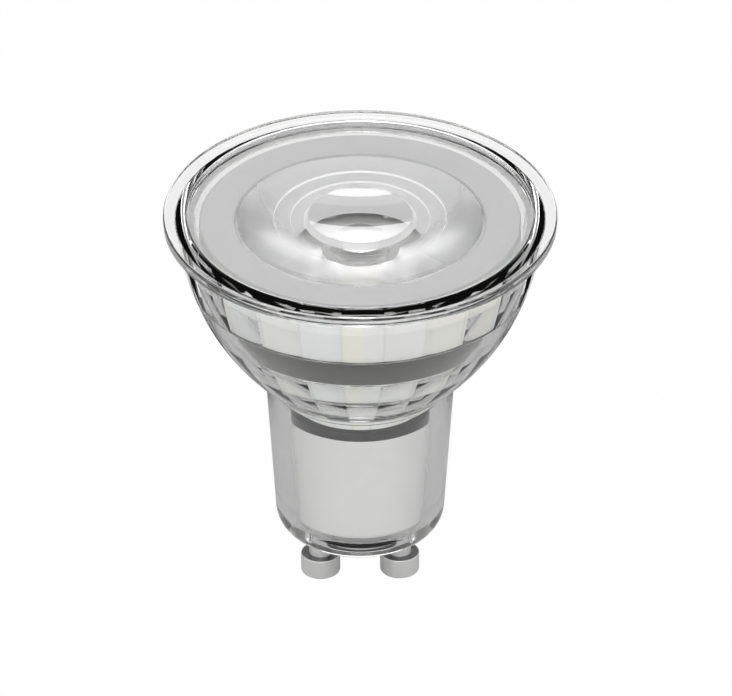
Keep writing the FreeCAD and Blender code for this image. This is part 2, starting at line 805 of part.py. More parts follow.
# Flared sleeve that stands on the cap, lines the lower facet rows and keeps the heat sink apart
# from the driver.
def make_funnel():
    ledge = half(total(CAP_TOP, THROAT))
    top = less(BAND_FOOT, cell("seat_gap"))
    wall = cell("funnel_wall")
    neck = less(facet_inradius(THROAT), cell("funnel_gap"))
    lower = less(facet_inradius(LOWER_ROW_FOOT), cell("funnel_gap"))
    middle = less(facet_inradius(MIDDLE_ROW_FOOT), cell("funnel_gap"))
    mouth = less(facet_inradius(BAND_FOOT), cell("funnel_gap"))
    foot = less(neck, cell("funnel_inset"))
    return turned("driver_funnel", [
        (less(foot, wall), CAP_TOP),
        (foot, CAP_TOP),
        (foot, ledge),
        (neck, ledge),
        (neck, THROAT),
        (lower, LOWER_ROW_FOOT),
        (middle, MIDDLE_ROW_FOOT),
        (mouth, top),
        (less(mouth, wall), top),
        (less(middle, wall), MIDDLE_ROW_FOOT),
        (less(lower, wall), LOWER_ROW_FOOT),
        (less(foot, wall), THROAT),
    ])


def make_driver_board():
    board = new_body("driver_board")
    padded(board, "driver_plate",
           box_corners(negative(DRIVER_EDGE), DRIVER_EDGE, negative(DRIVER_FACE), DRIVER_FACE),
           DRIVER_FOOT, less(DRIVER_TOP, DRIVER_FOOT))
    return board


# Upright can with a rolled groove near its foot.
def make_bulk_capacitor():
    radius = cell("capacitor_radius")
    foot = total(DRIVER_FOOT, cell("capacitor_lift"))
    groove = half(cell("capacitor_lift"))
    top = total(foot, cell("capacitor_height"))
    can = turned("bulk_capacitor", [
        ("0", foot),
        (radius, foot),
        (radius, total(foot, groove)),
        (less(radius, half(groove)), total(foot, groove, half(groove))),
        (radius, total(foot, groove, groove)),
        (radius, less(top, half(groove))),
        (less(radius, half(groove)), top),
        ("0", top),
    ])
    return place_at(can, "0", total(DRIVER_FACE, cell("seat_gap"), radius))


# Drum core with its winding between two flanges.
def make_choke():
    radius = cell("choke_radius")
    foot = total(DRIVER_FOOT, cell("choke_lift"))
    top = total(foot, cell("choke_height"))
    waist = less(radius, cell("choke_winding"))
    drum = turned("choke", [
        ("0", foot),
        (radius, foot),
        (radius, total(foot, cell("choke_flange"))),
        (waist, total(foot, cell("choke_flange"))),
        (waist, less(top, cell("choke_flange"))),
        (radius, less(top, cell("choke_flange"))),
        (radius, top),
        ("0", top),
    ])
    place = negative(total(DRIVER_FACE, cell("seat_gap"), radius))
    return place_at(drum, "0", place)


# A moulded package with rows of leads on its two sides.
def leaded_package(label, centre, width, depth, height, leads):
    foot = total(DRIVER_FOOT, cell("leaded_lift"))
    face = negative(DRIVER_FACE)
    back = less(face, depth)
    left = less(centre, half(width))
    right = total(centre, half(width))
    parts = [solid_box(label + "_mould", left, right, back, face, foot, total(foot, height))]
    for index in range(leads):
        share = f"({height} * {2 * index + 1} / {2 * leads})"
        low = less(total(foot, share), half(cell("lead_width")))
        high = total(low, cell("lead_width"))
        for side, inner, outer in (
            ("left", less(left, cell("lead_reach")), left),
            ("right", right, total(right, cell("lead_reach"))),
        ):
            parts.append(solid_box(f"{label}_{side}_lead_{index + 1}", inner, outer,
                                   less(face, cell("lead_thickness")), face, low, high))
    return fused(label, parts)


# Axial resistor with rounded end caps, standing against the board.
def make_fuse():
    radius = cell("fuse_radius")
    foot = total(DRIVER_FOOT, cell("fuse_lift"))
    top = total(foot, cell("fuse_length"))
    waist = cell("fuse_waist")
    fuse = turned("fuse_resistor", [
        ("0", foot),
        (waist, foot),
        (radius, total(foot, half(radius))),
        (waist, total(foot, radius)),
        (waist, less(top, radius)),
        (radius, less(top, half(radius))),
        (waist, top),
        ("0", top),
    ])
    place = negative(total(DRIVER_FACE, cell("seat_gap"), radius))
    return place_at(fuse, negative(driver_place("fuse_margin")), place)


def make_film_capacitor():
    body = new_body("film_capacitor")
    centre = driver_place("film_margin")
    left = less(centre, half(cell("film_width")))
    right = total(centre, half(cell("film_width")))
    face = negative(DRIVER_FACE)
    padded(body, "film_block", box_corners(left, right, less(face, cell("film_depth")), face),
           total(DRIVER_FOOT, cell("film_lift")), cell("film_height"))
    upright = [f"Edge{i}" for i, edge in enumerate(body.Shape.Edges, start=1)
               if abs(edge.tangentAt(edge.FirstParameter).z) > 0.9]
    fillet = body.newObject("PartDesign::Fillet", "film_rounding")
    fillet.Base = (body.getObject("film_block"), upright)
    fillet.setExpression("Radius", cell("film_round"))
    return body


# Small resistors and capacitors on the back of the board, as one group.
def make_chip_parts():
    blocks = []
    for side, sign in (("left", -1), ("right", 1)):
        centre = f"({sign} * {driver_place('smd_margin')})"
        for index in range(2):
            foot = total(DRIVER_FOOT, cell("smd_lift"), f"({index} * {cell('smd_pitch')})")
            blocks.append(solid_box(
                f"chip_{side}_{index + 1}",
                less(centre, half(cell("smd_length"))),
                total(centre, half(cell("smd_length"))),
                DRIVER_FACE, total(DRIVER_FACE, cell("smd_height")),
                foot, total(foot, cell("smd_width")),
            ))
    return fused("chip_parts", blocks)


# A wire follows an open line of points (depth, height) in the plane across = place.
def make_wire(label, place, radius, route):
    body = new_body(label)
    path = new_sketch(body, label + "_route", "YZ_Plane", place)
    spots = [FreeCAD.Vector(number(depth), number(up), 0) for depth, up in route]
    for first, last in zip(spots, spots[1:]):
        path.addGeometry(Part.LineSegment(first, last), False)
    for index in range(len(spots) - 2):
        path.addConstraint(Sketcher.Constraint("Coincident", index, 2, index + 1, 1))
    for index, (depth, up) in enumerate(route[:-1]):
        hold_point(path, index, 1, depth, up)
    hold_point(path, len(route) - 2, 2, route[-1][0], route[-1][1])
    end = new_sketch(body, label + "_end", "XY_Plane", route[0][1])
    draw_circle(end, place, route[0][0], radius)
    doc.recompute()
    pipe = body.newObject("PartDesign::AdditivePipe", label + "_sweep")
    pipe.Profile = end
    pipe.Spine = path
    pipe.Transition = "Right corner"
    path.Visibility = False
    end.Visibility = False
    doc.recompute()
    return body


def make_mains_wire(label, place):
    beside_pin = total(cell("pin_shank_radius"), cell("mains_wire_radius"), cell("seat_gap"))
    on_board = total(DRIVER_FACE, cell("mains_wire_radius"), cell("seat_gap"))
    start = less(SHANK_TOP, cell("mains_wire_start"))
    return make_wire(label, place, cell("mains_wire_radius"), [
        (beside_pin, start),
        (beside_pin, total(SHANK_TOP, cell("mains_wire_radius"))),
        (on_board, total(DRIVER_FOOT, cell("mains_wire_start"))),
        (on_board, total(DRIVER_FOOT, cell("mains_wire_end"))),
    ])


def make_led_wire(label, place):
    on_board = total(DRIVER_FACE, cell("led_wire_radius"), cell("seat_gap"))
    under_sink = less(BAND_FOOT, cell("screw_length"))
    above_chips = total(DRIVER_FOOT, cell("smd_lift"), cell("smd_pitch"), cell("smd_width"),
                        cell("led_wire_clearance"))
    return make_wire(label, place, cell("led_wire_radius"), [
        (on_board, above_chips),
        (on_board, less(DRIVER_TOP, cell("led_wire_drop"))),
        (cell("led_wire_hole"), under_sink),
        (cell("led_wire_hole"), BOARD_TOP),
    ])


def make_joints():
    joints = []
    for name, side in (("left_joint", negative(cell("led_wire_place"))),
                       ("right_joint", cell("led_wire_place"))):
        joint = turned(name, [
            ("0", BOARD_TOP),
            (cell("joint_radius"), BOARD_TOP),
            (half(cell("joint_radius")), total(BOARD_TOP, cell("joint_height"))),
            ("0", total(BOARD_TOP, cell("joint_height"))),
        ])
        joints.append(place_at(joint, side, cell("led_wire_hole")))
    return fused("solder_joints", joints)


BRIDGE_LEAD_COUNT = 2
CHIP_LEAD_COUNT = 4

nodes = [make_glass(), make_lens(), make_glue(), make_holder(), make_heat_sink()]
nodes += make_light_source()
nodes += [
    make_pin("contact_pin_left", negative(PIN_PLACE)),
    make_pin("contact_pin_right", PIN_PLACE),
    make_washer("pin_washer_left", negative(PIN_PLACE)),
    make_washer("pin_washer_right", PIN_PLACE),
    make_housing(),
    make_cap(),
    make_funnel(),
    make_driver_board(),
    make_bulk_capacitor(),
    make_choke(),
    leaded_package("bridge_rectifier", negative(driver_place("bridge_margin")),
                   cell("bridge_width"), cell("bridge_depth"), cell("bridge_height"),
                   BRIDGE_LEAD_COUNT),
    leaded_package("driver_chip", driver_place("chip_margin"),
                   cell("chip_width"), cell("chip_depth"), cell("chip_height"), CHIP_LEAD_COUNT),
    make_fuse(),
    make_film_capacitor(),
    make_chip_parts(),
    make_mains_wire("mains_wire_left", negative(PIN_PLACE)),
    make_mains_wire("mains_wire_right", PIN_PLACE),
    make_led_wire("led_wire_negative", negative(cell("led_wire_place"))),
    make_led_wire("led_wire_positive", cell("led_wire_place")),
    make_joints(),
]
doc.recompute()

for item in doc.Objects:
    if "Invalid" in item.State or "Error" in item.State:
        raise RuntimeError(f"{item.Name} failed: {item.State}")
for node in nodes:
    if node.Shape.isNull() or not node.Shape.isValid():
        raise RuntimeError(f"{node.Label} has no valid shape")

os.makedirs("parts", exist_ok=True)
for node in nodes:
    node.Shape.exportStep(f"parts/{node.Label}.step")
    print(node.Label, len(node.Shape.Solids), round(node.Shape.Volume, 2))
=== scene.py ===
# %% [markdown]
# # LED spotlight bulb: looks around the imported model
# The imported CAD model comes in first, as a fixed frame in metres. Nothing in it is moved. What
# shows is either a CAD node with a finish of its own, or a new piece that stands for a node.

# %% Load the frame
import json
import math

import bmesh
import bpy
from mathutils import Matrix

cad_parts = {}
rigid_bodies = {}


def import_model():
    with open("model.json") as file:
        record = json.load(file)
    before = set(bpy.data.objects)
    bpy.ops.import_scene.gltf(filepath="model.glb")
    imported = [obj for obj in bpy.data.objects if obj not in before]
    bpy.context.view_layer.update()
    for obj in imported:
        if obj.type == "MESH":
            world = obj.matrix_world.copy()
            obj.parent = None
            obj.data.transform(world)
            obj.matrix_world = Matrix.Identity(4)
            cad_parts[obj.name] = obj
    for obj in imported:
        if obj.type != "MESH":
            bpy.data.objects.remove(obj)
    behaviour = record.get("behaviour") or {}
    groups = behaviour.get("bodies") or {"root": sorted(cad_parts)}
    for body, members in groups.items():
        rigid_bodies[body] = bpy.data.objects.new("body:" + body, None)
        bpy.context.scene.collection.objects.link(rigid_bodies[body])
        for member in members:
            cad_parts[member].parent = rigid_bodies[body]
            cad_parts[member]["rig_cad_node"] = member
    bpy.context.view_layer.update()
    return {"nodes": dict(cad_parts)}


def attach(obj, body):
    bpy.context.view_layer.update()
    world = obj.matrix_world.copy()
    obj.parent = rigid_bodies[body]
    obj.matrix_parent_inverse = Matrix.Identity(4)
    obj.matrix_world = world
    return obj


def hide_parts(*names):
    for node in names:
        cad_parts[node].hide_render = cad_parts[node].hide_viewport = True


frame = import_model()
nodes = frame["nodes"]
print("CAD nodes:", len(nodes))

# %% [markdown]
# ## Camera
# The photograph looks down on the lamp at about 32 degrees, and its far and near sides show no
# perspective, as with a very long lens. An orthographic camera gives the same picture. It is
# turned by one degree, because the left pin stands a little nearer than the right one.

# %% Camera
MM = 0.001
ELEVATION = math.radians(32.3)
TURN = math.radians(1.0)
FRAME_WIDTH = 92.74 * MM
AIM_HEIGHT = 33.18 * MM
AIM_SIDE = 0.741 * MM
CAMERA_DISTANCE = 0.6

sight = bpy.data.cameras.new("camera")
sight.type = "ORTHO"
sight.ortho_scale = FRAME_WIDTH
camera = bpy.data.objects.new("camera", sight)
bpy.context.scene.collection.objects.link(camera)
across = (math.cos(TURN), -math.sin(TURN))
back = (-math.sin(TURN) * math.cos(ELEVATION), -math.cos(TURN) * math.cos(ELEVATION))
camera.location = (
    AIM_SIDE * across[0] + CAMERA_DISTANCE * back[0],
    AIM_SIDE * across[1] + CAMERA_DISTANCE * back[1],
    AIM_HEIGHT + CAMERA_DISTANCE * math.sin(ELEVATION),
)
camera.rotation_euler = (math.pi / 2 - ELEVATION, 0, -TURN)
bpy.context.scene.camera = camera
print("camera at", tuple(round(v, 4) for v in camera.location))

# %% [markdown]
# ## Drawing a half section and turning it
# Pressed glass, a moulded lens and a spun dish are all round, so each is drawn as a half section
# and turned about the axis. The section starts as one vertex and is extruded from corner to
# corner. Spin turns it into a shell, whose doubles are merged before its normals are made to
# point outwards.
#
# An arc is given by its two ends, its radius and the side to which it bulges, as on a drawing.
# A fillet is the arc that fits between two straight legs, and takes the place of their corner.

# %% Arcs and fillets
def arc(start, end, radius, side, steps):
    """Points of an arc from start to end, in millimetres. side 1 bulges left, -1 right."""
    run = (end[0] - start[0], end[1] - start[1])
    chord = math.hypot(*run)
    height = math.sqrt(max(radius ** 2 - (chord / 2) ** 2, 0))
    normal = (run[1] / chord * side, -run[0] / chord * side)
    centre = ((start[0] + end[0]) / 2 + normal[0] * height,
              (start[1] + end[1]) / 2 + normal[1] * height)
    first = math.atan2(start[1] - centre[1], start[0] - centre[0])
    last = math.atan2(end[1] - centre[1], end[0] - centre[0])
    sweep = (last - first + math.pi) % (2 * math.pi) - math.pi
    return [(centre[0] + radius * math.cos(first + sweep * i / steps),
             centre[1] + radius * math.sin(first + sweep * i / steps))
            for i in range(steps + 1)]


def rounded(before, corner, after, radius, steps=6):
    """The points of a fillet that takes the place of a corner between two legs."""
    legs = []
    for point in (before, after):
        run = (point[0] - corner[0], point[1] - corner[1])
        size = math.hypot(*run)
        legs.append((run[0] / size, run[1] / size))
    between = math.acos(legs[0][0] * legs[1][0] + legs[0][1] * legs[1][1])
    reach = radius / math.tan(between / 2)
    start = (corner[0] + legs[0][0] * reach, corner[1] + legs[0][1] * reach)
    end = (corner[0] + legs[1][0] * reach, corner[1] + legs[1][1] * reach)
    turn = legs[0][0] * legs[1][1] - legs[0][1] * legs[1][0]
    return arc(start, end, radius, 1 if turn > 0 else -1, steps)


# %% [markdown]
# Smooth shading blends the normals of neighbouring faces, which bends reflections on a flat face
# that ends in a rounded edge. Glass shows that at once. So each long straight run gets a support
# point a hair from both of its ends, and the blend stays inside that hair.

# %% Drawing and turning a section
STEPS = 288
HOLD, LONG = 0.04, 0.9
MERGE = 0.002


def only(piece):
    """Selects one object alone and makes it active."""
    bpy.ops.object.select_all(action="DESELECT")
    piece.select_set(True)
    bpy.context.view_layer.objects.active = piece


def start_piece(name):
    """A new object whose mesh is a single vertex at the origin, left in edit mode."""
    bpy.ops.object.select_all(action="DESELECT")
    bpy.ops.mesh.primitive_plane_add(size=MM)
    piece = bpy.context.object
    piece.name = piece.data.name = name
    bpy.ops.object.mode_set(mode="EDIT")
    bpy.ops.mesh.merge(type="CENTER")
    return piece


def held(points):
    """The section with a support point near both ends of each long straight run."""
    result = [points[0]]
    for here, there in zip(points, points[1:]):
        length = math.dist(here, there)
        for end, share in ((here, HOLD / length), (there, 1 - HOLD / length)):
            if length > LONG and end[0] > LONG:
                result.append((here[0] + (there[0] - here[0]) * share,
                               here[1] + (there[1] - here[1]) * share))
        result.append(there)
    return result


def draw_line(points):
    """Moves the single vertex to the first point and extrudes it along the rest."""
    spots = [(x * MM, 0, z * MM) for x, z in held(points)]
    bpy.ops.transform.translate(value=spots[0])
    for here, there in zip(spots, spots[1:]):
        step = [there[i] - here[i] for i in range(3)]
        bpy.ops.mesh.extrude_region_move(TRANSFORM_OT_translate={"value": step})


def spin_section(name, points, steps=STEPS):
    """A shell turned from a half section, in object mode."""
    piece = start_piece(name)
    draw_line(points)
    bpy.ops.mesh.select_all(action="SELECT")
    bpy.ops.mesh.spin(steps=steps, angle=2 * math.pi, center=(0, 0, 0), axis=(0, 0, 1))
    bpy.ops.mesh.select_all(action="SELECT")
    bpy.ops.mesh.remove_doubles(threshold=MERGE * MM)
    bpy.ops.mesh.normals_make_consistent(inside=False)
    bpy.ops.object.mode_set(mode="OBJECT")
    return piece


def smooth(piece, degrees):
    """Smooth shading, apart from edges that are sharper than the angle."""
    only(piece)
    bpy.ops.object.shade_smooth_by_angle(angle=math.radians(degrees))


def settle(piece, replaced):
    """Rides the piece on the lamp in place of its CAD node."""
    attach(piece, "root")
    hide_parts(*replaced)
    print(piece.name, "has", len(piece.data.polygons), "faces")


print("round pieces of the glass are turned in", STEPS, "steps")

# %% [markdown]
# ## Glass body, outside
# The outside is pressed smooth: a rounded foot, a base that widens a little towards the neck, a
# bowl whose side is one long arc, and a flat rim with softened edges. Each edge gets a fillet of
# many steps, because a pressed edge shows as a fine light or dark line that follows its curve.

# %% Outside of the glass
FOOT, NECK, RIM = 6.95, 29.5, 53.2
FOOT_RADIUS, NECK_RADIUS, LIP_RADIUS, RIM_RADIUS = 10.42, 12.0, 23.4, 25.0
BAND_UNDERSIDE, LENS_SEAT = 51.8, 51.25
RECESS_RADIUS = 22.15
BOWL_ARC, BOWL_WALL = 34.63, 2.0
FOOT_ROUND, NECK_ROUND, RIM_ROUND, LIP_ROUND, SEAT_ROUND = 3.5, 1.2, 0.35, 0.2, 0.15
FINE_STEPS, LIP_STEPS, NECK_STEPS, BOWL_STEPS, CLEAR = 16, 12, 8, 64, 0.1

bowl = arc((NECK_RADIUS, NECK), (LIP_RADIUS, BAND_UNDERSIDE), BOWL_ARC, -1, BOWL_STEPS)
foot = rounded((0, FOOT), (FOOT_RADIUS, FOOT), (NECK_RADIUS, NECK), FOOT_ROUND, FINE_STEPS)
neck = rounded((FOOT_RADIUS, FOOT), (NECK_RADIUS, NECK), bowl[3], NECK_ROUND, NECK_STEPS)
bowl = [p for p in bowl if p[1] > neck[-1][1] + CLEAR]
lip = rounded(bowl[-4], (LIP_RADIUS, BAND_UNDERSIDE), (RIM_RADIUS, BAND_UNDERSIDE),
              LIP_ROUND, LIP_STEPS)
bowl = [p for p in bowl if p[1] < lip[0][1] - CLEAR]
under = rounded((LIP_RADIUS, BAND_UNDERSIDE), (RIM_RADIUS, BAND_UNDERSIDE),
                (RIM_RADIUS, RIM), RIM_ROUND, FINE_STEPS)
over = rounded((RIM_RADIUS, BAND_UNDERSIDE), (RIM_RADIUS, RIM), (RECESS_RADIUS, RIM),
               RIM_ROUND, FINE_STEPS)
inner_edge = rounded((RIM_RADIUS, RIM), (RECESS_RADIUS, RIM), (RECESS_RADIUS, LENS_SEAT),
                     SEAT_ROUND, FINE_STEPS)
outside = [(0, FOOT)] + foot + neck + bowl + lip + under + over + inner_edge
outside.append((RECESS_RADIUS, LENS_SEAT))
print("outside section:", len(outside), "points")

# %% [markdown]
# ## Glass body, inside
# The inside of the bowl carries rows of 24 flat facets above and below one smooth band. Flat
# facets need a ring with 24 straight sides, so that ring starts as a circle of 24 vertices. Each
# side is then divided twelve times, which keeps it straight and gives it as many vertices as the
# turned parts have, and the rows follow by extruding the ring downwards and scaling it. The
# seat of the lens is the same ring, extruded outwards and rounded into a circle.

# %% Rows of facets
FACETS = 24
THROAT = 29.82
UPPER_ROW_TOP, BAND_TOP, BAND_FOOT = 48.6, 44.0, 39.6
MIDDLE_ROW_FOOT, LOWER_ROW_FOOT = 35.9, 32.2
CAVITY_FLOOR, BASE_WALL, CAVITY_ROUND = 9.4, 2.65, 0.7
RING_SHARE, LEDGE_DROP = 0.999, 0.01


def inner_bowl(height):
    """Radius of the inside of the bowl, which keeps the same wall all the way."""
    rise, spread = BAND_UNDERSIDE - NECK, LIP_RADIUS - NECK_RADIUS
    chord = math.hypot(rise, spread)
    offset = math.sqrt(BOWL_ARC ** 2 - (chord / 2) ** 2) / chord
    inset = offset * rise - (NECK_RADIUS + LIP_RADIUS) / 2
    centre = (NECK + BAND_UNDERSIDE) / 2 + offset * spread
    return math.sqrt((BOWL_ARC - BOWL_WALL) ** 2 - (centre - height) ** 2) - inset


def cavity_radius(height):
    share = (height - FOOT) / (NECK - FOOT)
    return FOOT_RADIUS + (NECK_RADIUS - FOOT_RADIUS) * share - BASE_WALL


def facet_rows(name, heights, ledge=None):
    """Rows of flat facets between the heights, each ring a little inside the smooth bowl."""
    top = inner_bowl(heights[0]) * RING_SHARE
    bpy.ops.object.select_all(action="DESELECT")
    bpy.ops.mesh.primitive_circle_add(vertices=FACETS, radius=top * MM,
                                      location=(0, 0, heights[0] * MM))
    piece = bpy.context.object
    piece.name = name
    bpy.ops.object.transform_apply(location=True, rotation=True, scale=True)
    bpy.ops.object.mode_set(mode="EDIT")
    bpy.ops.mesh.select_all(action="SELECT")
    bpy.ops.mesh.subdivide(number_cuts=STEPS // FACETS - 1)
    bpy.ops.transform.rotate(value=math.pi / FACETS, orient_axis="Z",
                             center_override=(0, 0, 0))
    if ledge:
        bpy.ops.mesh.extrude_region_move()
        bpy.ops.transform.tosphere(value=1)
        mesh = bmesh.from_edit_mesh(piece.data)
        now = next(math.hypot(v.co.x, v.co.y) for v in mesh.verts if v.select)
        share = ledge * MM / now
        bpy.ops.transform.resize(value=(share, share, 1), center_override=(0, 0, 0))
        bpy.ops.mesh.select_all(action="INVERT")
    for above, below in zip(heights, heights[1:]):
        bpy.ops.mesh.extrude_region_move(
            TRANSFORM_OT_translate={"value": (0, 0, (below - above) * MM)})
        share = inner_bowl(below) / inner_bowl(above)
        bpy.ops.transform.resize(value=(share, share, 1), center_override=(0, 0, below * MM))
    bpy.ops.object.mode_set(mode="OBJECT")
    return piece


print(FACETS, "facets in a row, each", STEPS // FACETS, "faces wide")

# %% [markdown]
# The rows, the smooth band, the cavity and the outside are then joined to one closed mesh. Two
# rings that meet lie a hundredth of a millimetre apart in height, so that both survive until they
# are bridged to a ledge. At the very end doubles are merged and normals made to point outwards.

# %% Joining the glass body
BAND_STEPS, CRISP = 8, 6


def bridge_level(height):
    """Joins the two open rings that lie at almost one height with a ledge."""
    bpy.ops.mesh.select_all(action="DESELECT")
    mesh = bmesh.from_edit_mesh(bpy.context.object.data)
    level = [e for e in mesh.edges if e.is_boundary
             and all(abs(v.co.z - height * MM) < 2 * LEDGE_DROP * MM for v in e.verts)]
    for edge in level:
        edge.select = True
    mesh.select_flush_mode()
    bmesh.update_edit_mesh(bpy.context.object.data)
    bpy.ops.mesh.bridge_edge_loops()


shell = spin_section("glass_body", outside)
upper = facet_rows("upper_rows", [LENS_SEAT, UPPER_ROW_TOP, BAND_TOP + LEDGE_DROP],
                   ledge=RECESS_RADIUS)
band_levels = [BAND_TOP - i * (BAND_TOP - BAND_FOOT) / BAND_STEPS for i in range(BAND_STEPS + 1)]
band = spin_section("smooth_band", [(inner_bowl(height), height) for height in band_levels])
lower = facet_rows("lower_rows", [BAND_FOOT - LEDGE_DROP, MIDDLE_ROW_FOOT, LOWER_ROW_FOOT,
                                  THROAT + LEDGE_DROP])
corner = rounded((cavity_radius(THROAT), THROAT), (cavity_radius(CAVITY_FLOOR), CAVITY_FLOOR),
                 (0, CAVITY_FLOOR), CAVITY_ROUND, FINE_STEPS)
cavity = spin_section("cavity", [(cavity_radius(THROAT), THROAT)] + corner
                      + [(0, CAVITY_FLOOR)])
bpy.ops.object.select_all(action="DESELECT")
for part in (upper, band, lower, cavity, shell):
    part.select_set(True)
bpy.context.view_layer.objects.active = shell
bpy.ops.object.join()
bpy.ops.object.mode_set(mode="EDIT")
for level in (BAND_TOP, BAND_FOOT, THROAT):
    bridge_level(level)
bpy.ops.mesh.select_all(action="SELECT")
bpy.ops.mesh.remove_doubles(threshold=LEDGE_DROP * 0.8 * MM)
bpy.ops.mesh.normals_make_consistent(inside=False)
bpy.ops.object.mode_set(mode="OBJECT")
glass_body = shell
smooth(glass_body, CRISP)
open_edges = bmesh.new()
open_edges.from_mesh(glass_body.data)
print("open edges in the glass:", sum(e.is_boundary for e in open_edges.edges))
open_edges.free()

# %% [markdown]
# The two contact pins pass through the floor of the base. A boolean modifier cuts their holes,
# which is simpler than leaving them open in the turned shell.

# %% Pin holes in the glass
PIN_PLACE, SHANK_RADIUS, PIN_CLEARANCE = 5.0, 1.2, 0.05

for side in (-1, 1):
    bpy.ops.object.select_all(action="DESELECT")
    bpy.ops.mesh.primitive_cylinder_add(
        vertices=48, radius=(SHANK_RADIUS + PIN_CLEARANCE) * MM, depth=4 * MM,
        location=(side * PIN_PLACE * MM, 0, (FOOT + CAVITY_FLOOR) / 2 * MM))
    drill = bpy.context.object
    only(glass_body)
    cut = glass_body.modifiers.new("pin_hole", "BOOLEAN")
    cut.operation = "DIFFERENCE"
    cut.solver = "EXACT"
    cut.object = drill
    bpy.ops.object.modifier_apply(modifier=cut.name)
    bpy.data.objects.remove(drill)
settle(glass_body, ["glass_envelope"])

# %% [markdown]
# ## Front lens
# The lens is one moulding. Its face has a flat flange, stepped rings and a raised disc in the
# middle, whose own face is a very shallow dish. A collimator with a pocket for the light source
# stands below. The section is turned like the glass, and each ring gets a small half-round bead
# that catches the light, as the edge of a real mould step does.

# %% Front lens
LENS_RADIUS, LENS_TOP, LENS_UNDERSIDE = 22.0, 53.0, 51.5
COLLIMATOR_RADIUS, COLLIMATOR_FOOT, COLLIMATOR_ARC = 15.6, 4.9, 30.0
LENS_FOOT, POCKET_TOP, POCKET_RADIUS, POCKET_MOUTH, POCKET_DOME = 42.25, 46.0, 3.9, 3.4, 6.3
RINGS, BEAD, DRAFT = (10.9, 8.8, 7.06), 0.2, 0.03
RING_STEP, DISH, DISC_RADIUS, DISC_TOP, DISC_ARC = 0.2, 0.2, 6.6, 53.15, 40.0
LENS_ROUND, DISC_EDGE, LENS_STEPS = 0.2, 0.05, 240

dish = LENS_TOP - DISH
pocket_roof = POCKET_TOP - (POCKET_DOME - math.sqrt(POCKET_DOME ** 2 - POCKET_MOUTH ** 2))
section = arc((0, pocket_roof), (POCKET_MOUTH, POCKET_TOP), POCKET_DOME, -1, 10)
section += [(POCKET_RADIUS, LENS_FOOT)]
section += arc((COLLIMATOR_FOOT, LENS_FOOT), (COLLIMATOR_RADIUS, LENS_UNDERSIDE),
               COLLIMATOR_ARC, -1, 32)
section += rounded((COLLIMATOR_RADIUS, LENS_UNDERSIDE), (LENS_RADIUS, LENS_UNDERSIDE),
                   (LENS_RADIUS, LENS_TOP), LENS_ROUND, 3)
section += rounded((LENS_RADIUS, LENS_UNDERSIDE), (LENS_RADIUS, LENS_TOP),
                   (COLLIMATOR_RADIUS, LENS_TOP), LENS_ROUND, 3)
section += [(COLLIMATOR_RADIUS, LENS_TOP)]
level = dish
for ring in RINGS:
    section += [(ring + BEAD, level)]
    section += arc((ring + BEAD / 2, level), (ring, level - BEAD / 2), BEAD / 2, 1, 4)
    section += [(ring - DRAFT, level - RING_STEP)]
    level -= RING_STEP
disc_middle = DISC_TOP - (DISC_ARC - math.sqrt(DISC_ARC ** 2 - DISC_RADIUS ** 2))
section += [(DISC_RADIUS + DISC_EDGE, DISC_TOP - DISC_EDGE)]
section += arc((DISC_RADIUS, DISC_TOP), (0, disc_middle), DISC_ARC, 1, 16)
front_lens = spin_section("lens", section, LENS_STEPS)
smooth(front_lens, 25)
settle(front_lens, ["front_lens"])

# %% [markdown]
# ## Holder, heat sink and driver sleeve
# These show through the glass: a pale moulded holder under the lens, whose cup follows the
# collimator, a dark metal dish whose skirt fills the smooth band of the bowl, and the pale
# funnel and sleeve below it. They are turned like the glass, with fewer steps, because no light
# passes through them, and their sharp edges are broken by a small bevel.

# %% Holder
PART_STEPS, SMALL_STEPS, CRISP_METAL = 192, 144, 30


def around_collimator(height, gap):
    """Radius at a height of an arc that stands off the collimator by the gap."""
    rise, spread = LENS_UNDERSIDE - LENS_FOOT, COLLIMATOR_RADIUS - COLLIMATOR_FOOT
    chord = math.hypot(rise, spread)
    offset = math.sqrt(COLLIMATOR_ARC ** 2 - (chord / 2) ** 2) / chord
    inset = offset * rise - (COLLIMATOR_FOOT + COLLIMATOR_RADIUS) / 2
    centre = (LENS_FOOT + LENS_UNDERSIDE) / 2 + offset * spread
    return math.sqrt((COLLIMATOR_ARC + gap) ** 2 - (centre - height) ** 2) - inset


HOLDER_TOP, HOLDER_PLATE, HOLDER_WALL, HOLDER_GAP, HOLDER_FIT = 51.45, 1.2, 0.9, 0.3, 0.3
CUP_FOOT, CUP_GAP = 43.4, 0.5
BEVEL, SMALL_BEVEL = 0.2, 0.15
flat_share = math.cos(math.pi / FACETS)
shoulder = inner_bowl(UPPER_ROW_TOP) * flat_share - HOLDER_GAP
skirt_foot = inner_bowl(BAND_TOP) * flat_share - HOLDER_GAP
opening = COLLIMATOR_RADIUS + HOLDER_FIT
plate_foot = HOLDER_TOP - HOLDER_PLATE
cup_arc = COLLIMATOR_ARC + CUP_GAP
section = [(skirt_foot - HOLDER_WALL, BAND_TOP), (skirt_foot, BAND_TOP),
           (shoulder, UPPER_ROW_TOP), (shoulder, HOLDER_TOP - BEVEL),
           (shoulder - BEVEL, HOLDER_TOP), (opening + SMALL_BEVEL, HOLDER_TOP),
           (opening, HOLDER_TOP - SMALL_BEVEL)]
section += arc((opening, plate_foot), (around_collimator(CUP_FOOT, CUP_GAP), CUP_FOOT),
               cup_arc, 1, 16)
section += arc((around_collimator(CUP_FOOT, CUP_GAP + HOLDER_WALL), CUP_FOOT),
               (opening + HOLDER_WALL, plate_foot), cup_arc + HOLDER_WALL, -1, 16)
section += [(shoulder - HOLDER_WALL, plate_foot), (shoulder - HOLDER_WALL, UPPER_ROW_TOP)]
holder = spin_section("holder", section + section[:1], PART_STEPS)
smooth(holder, CRISP_METAL)
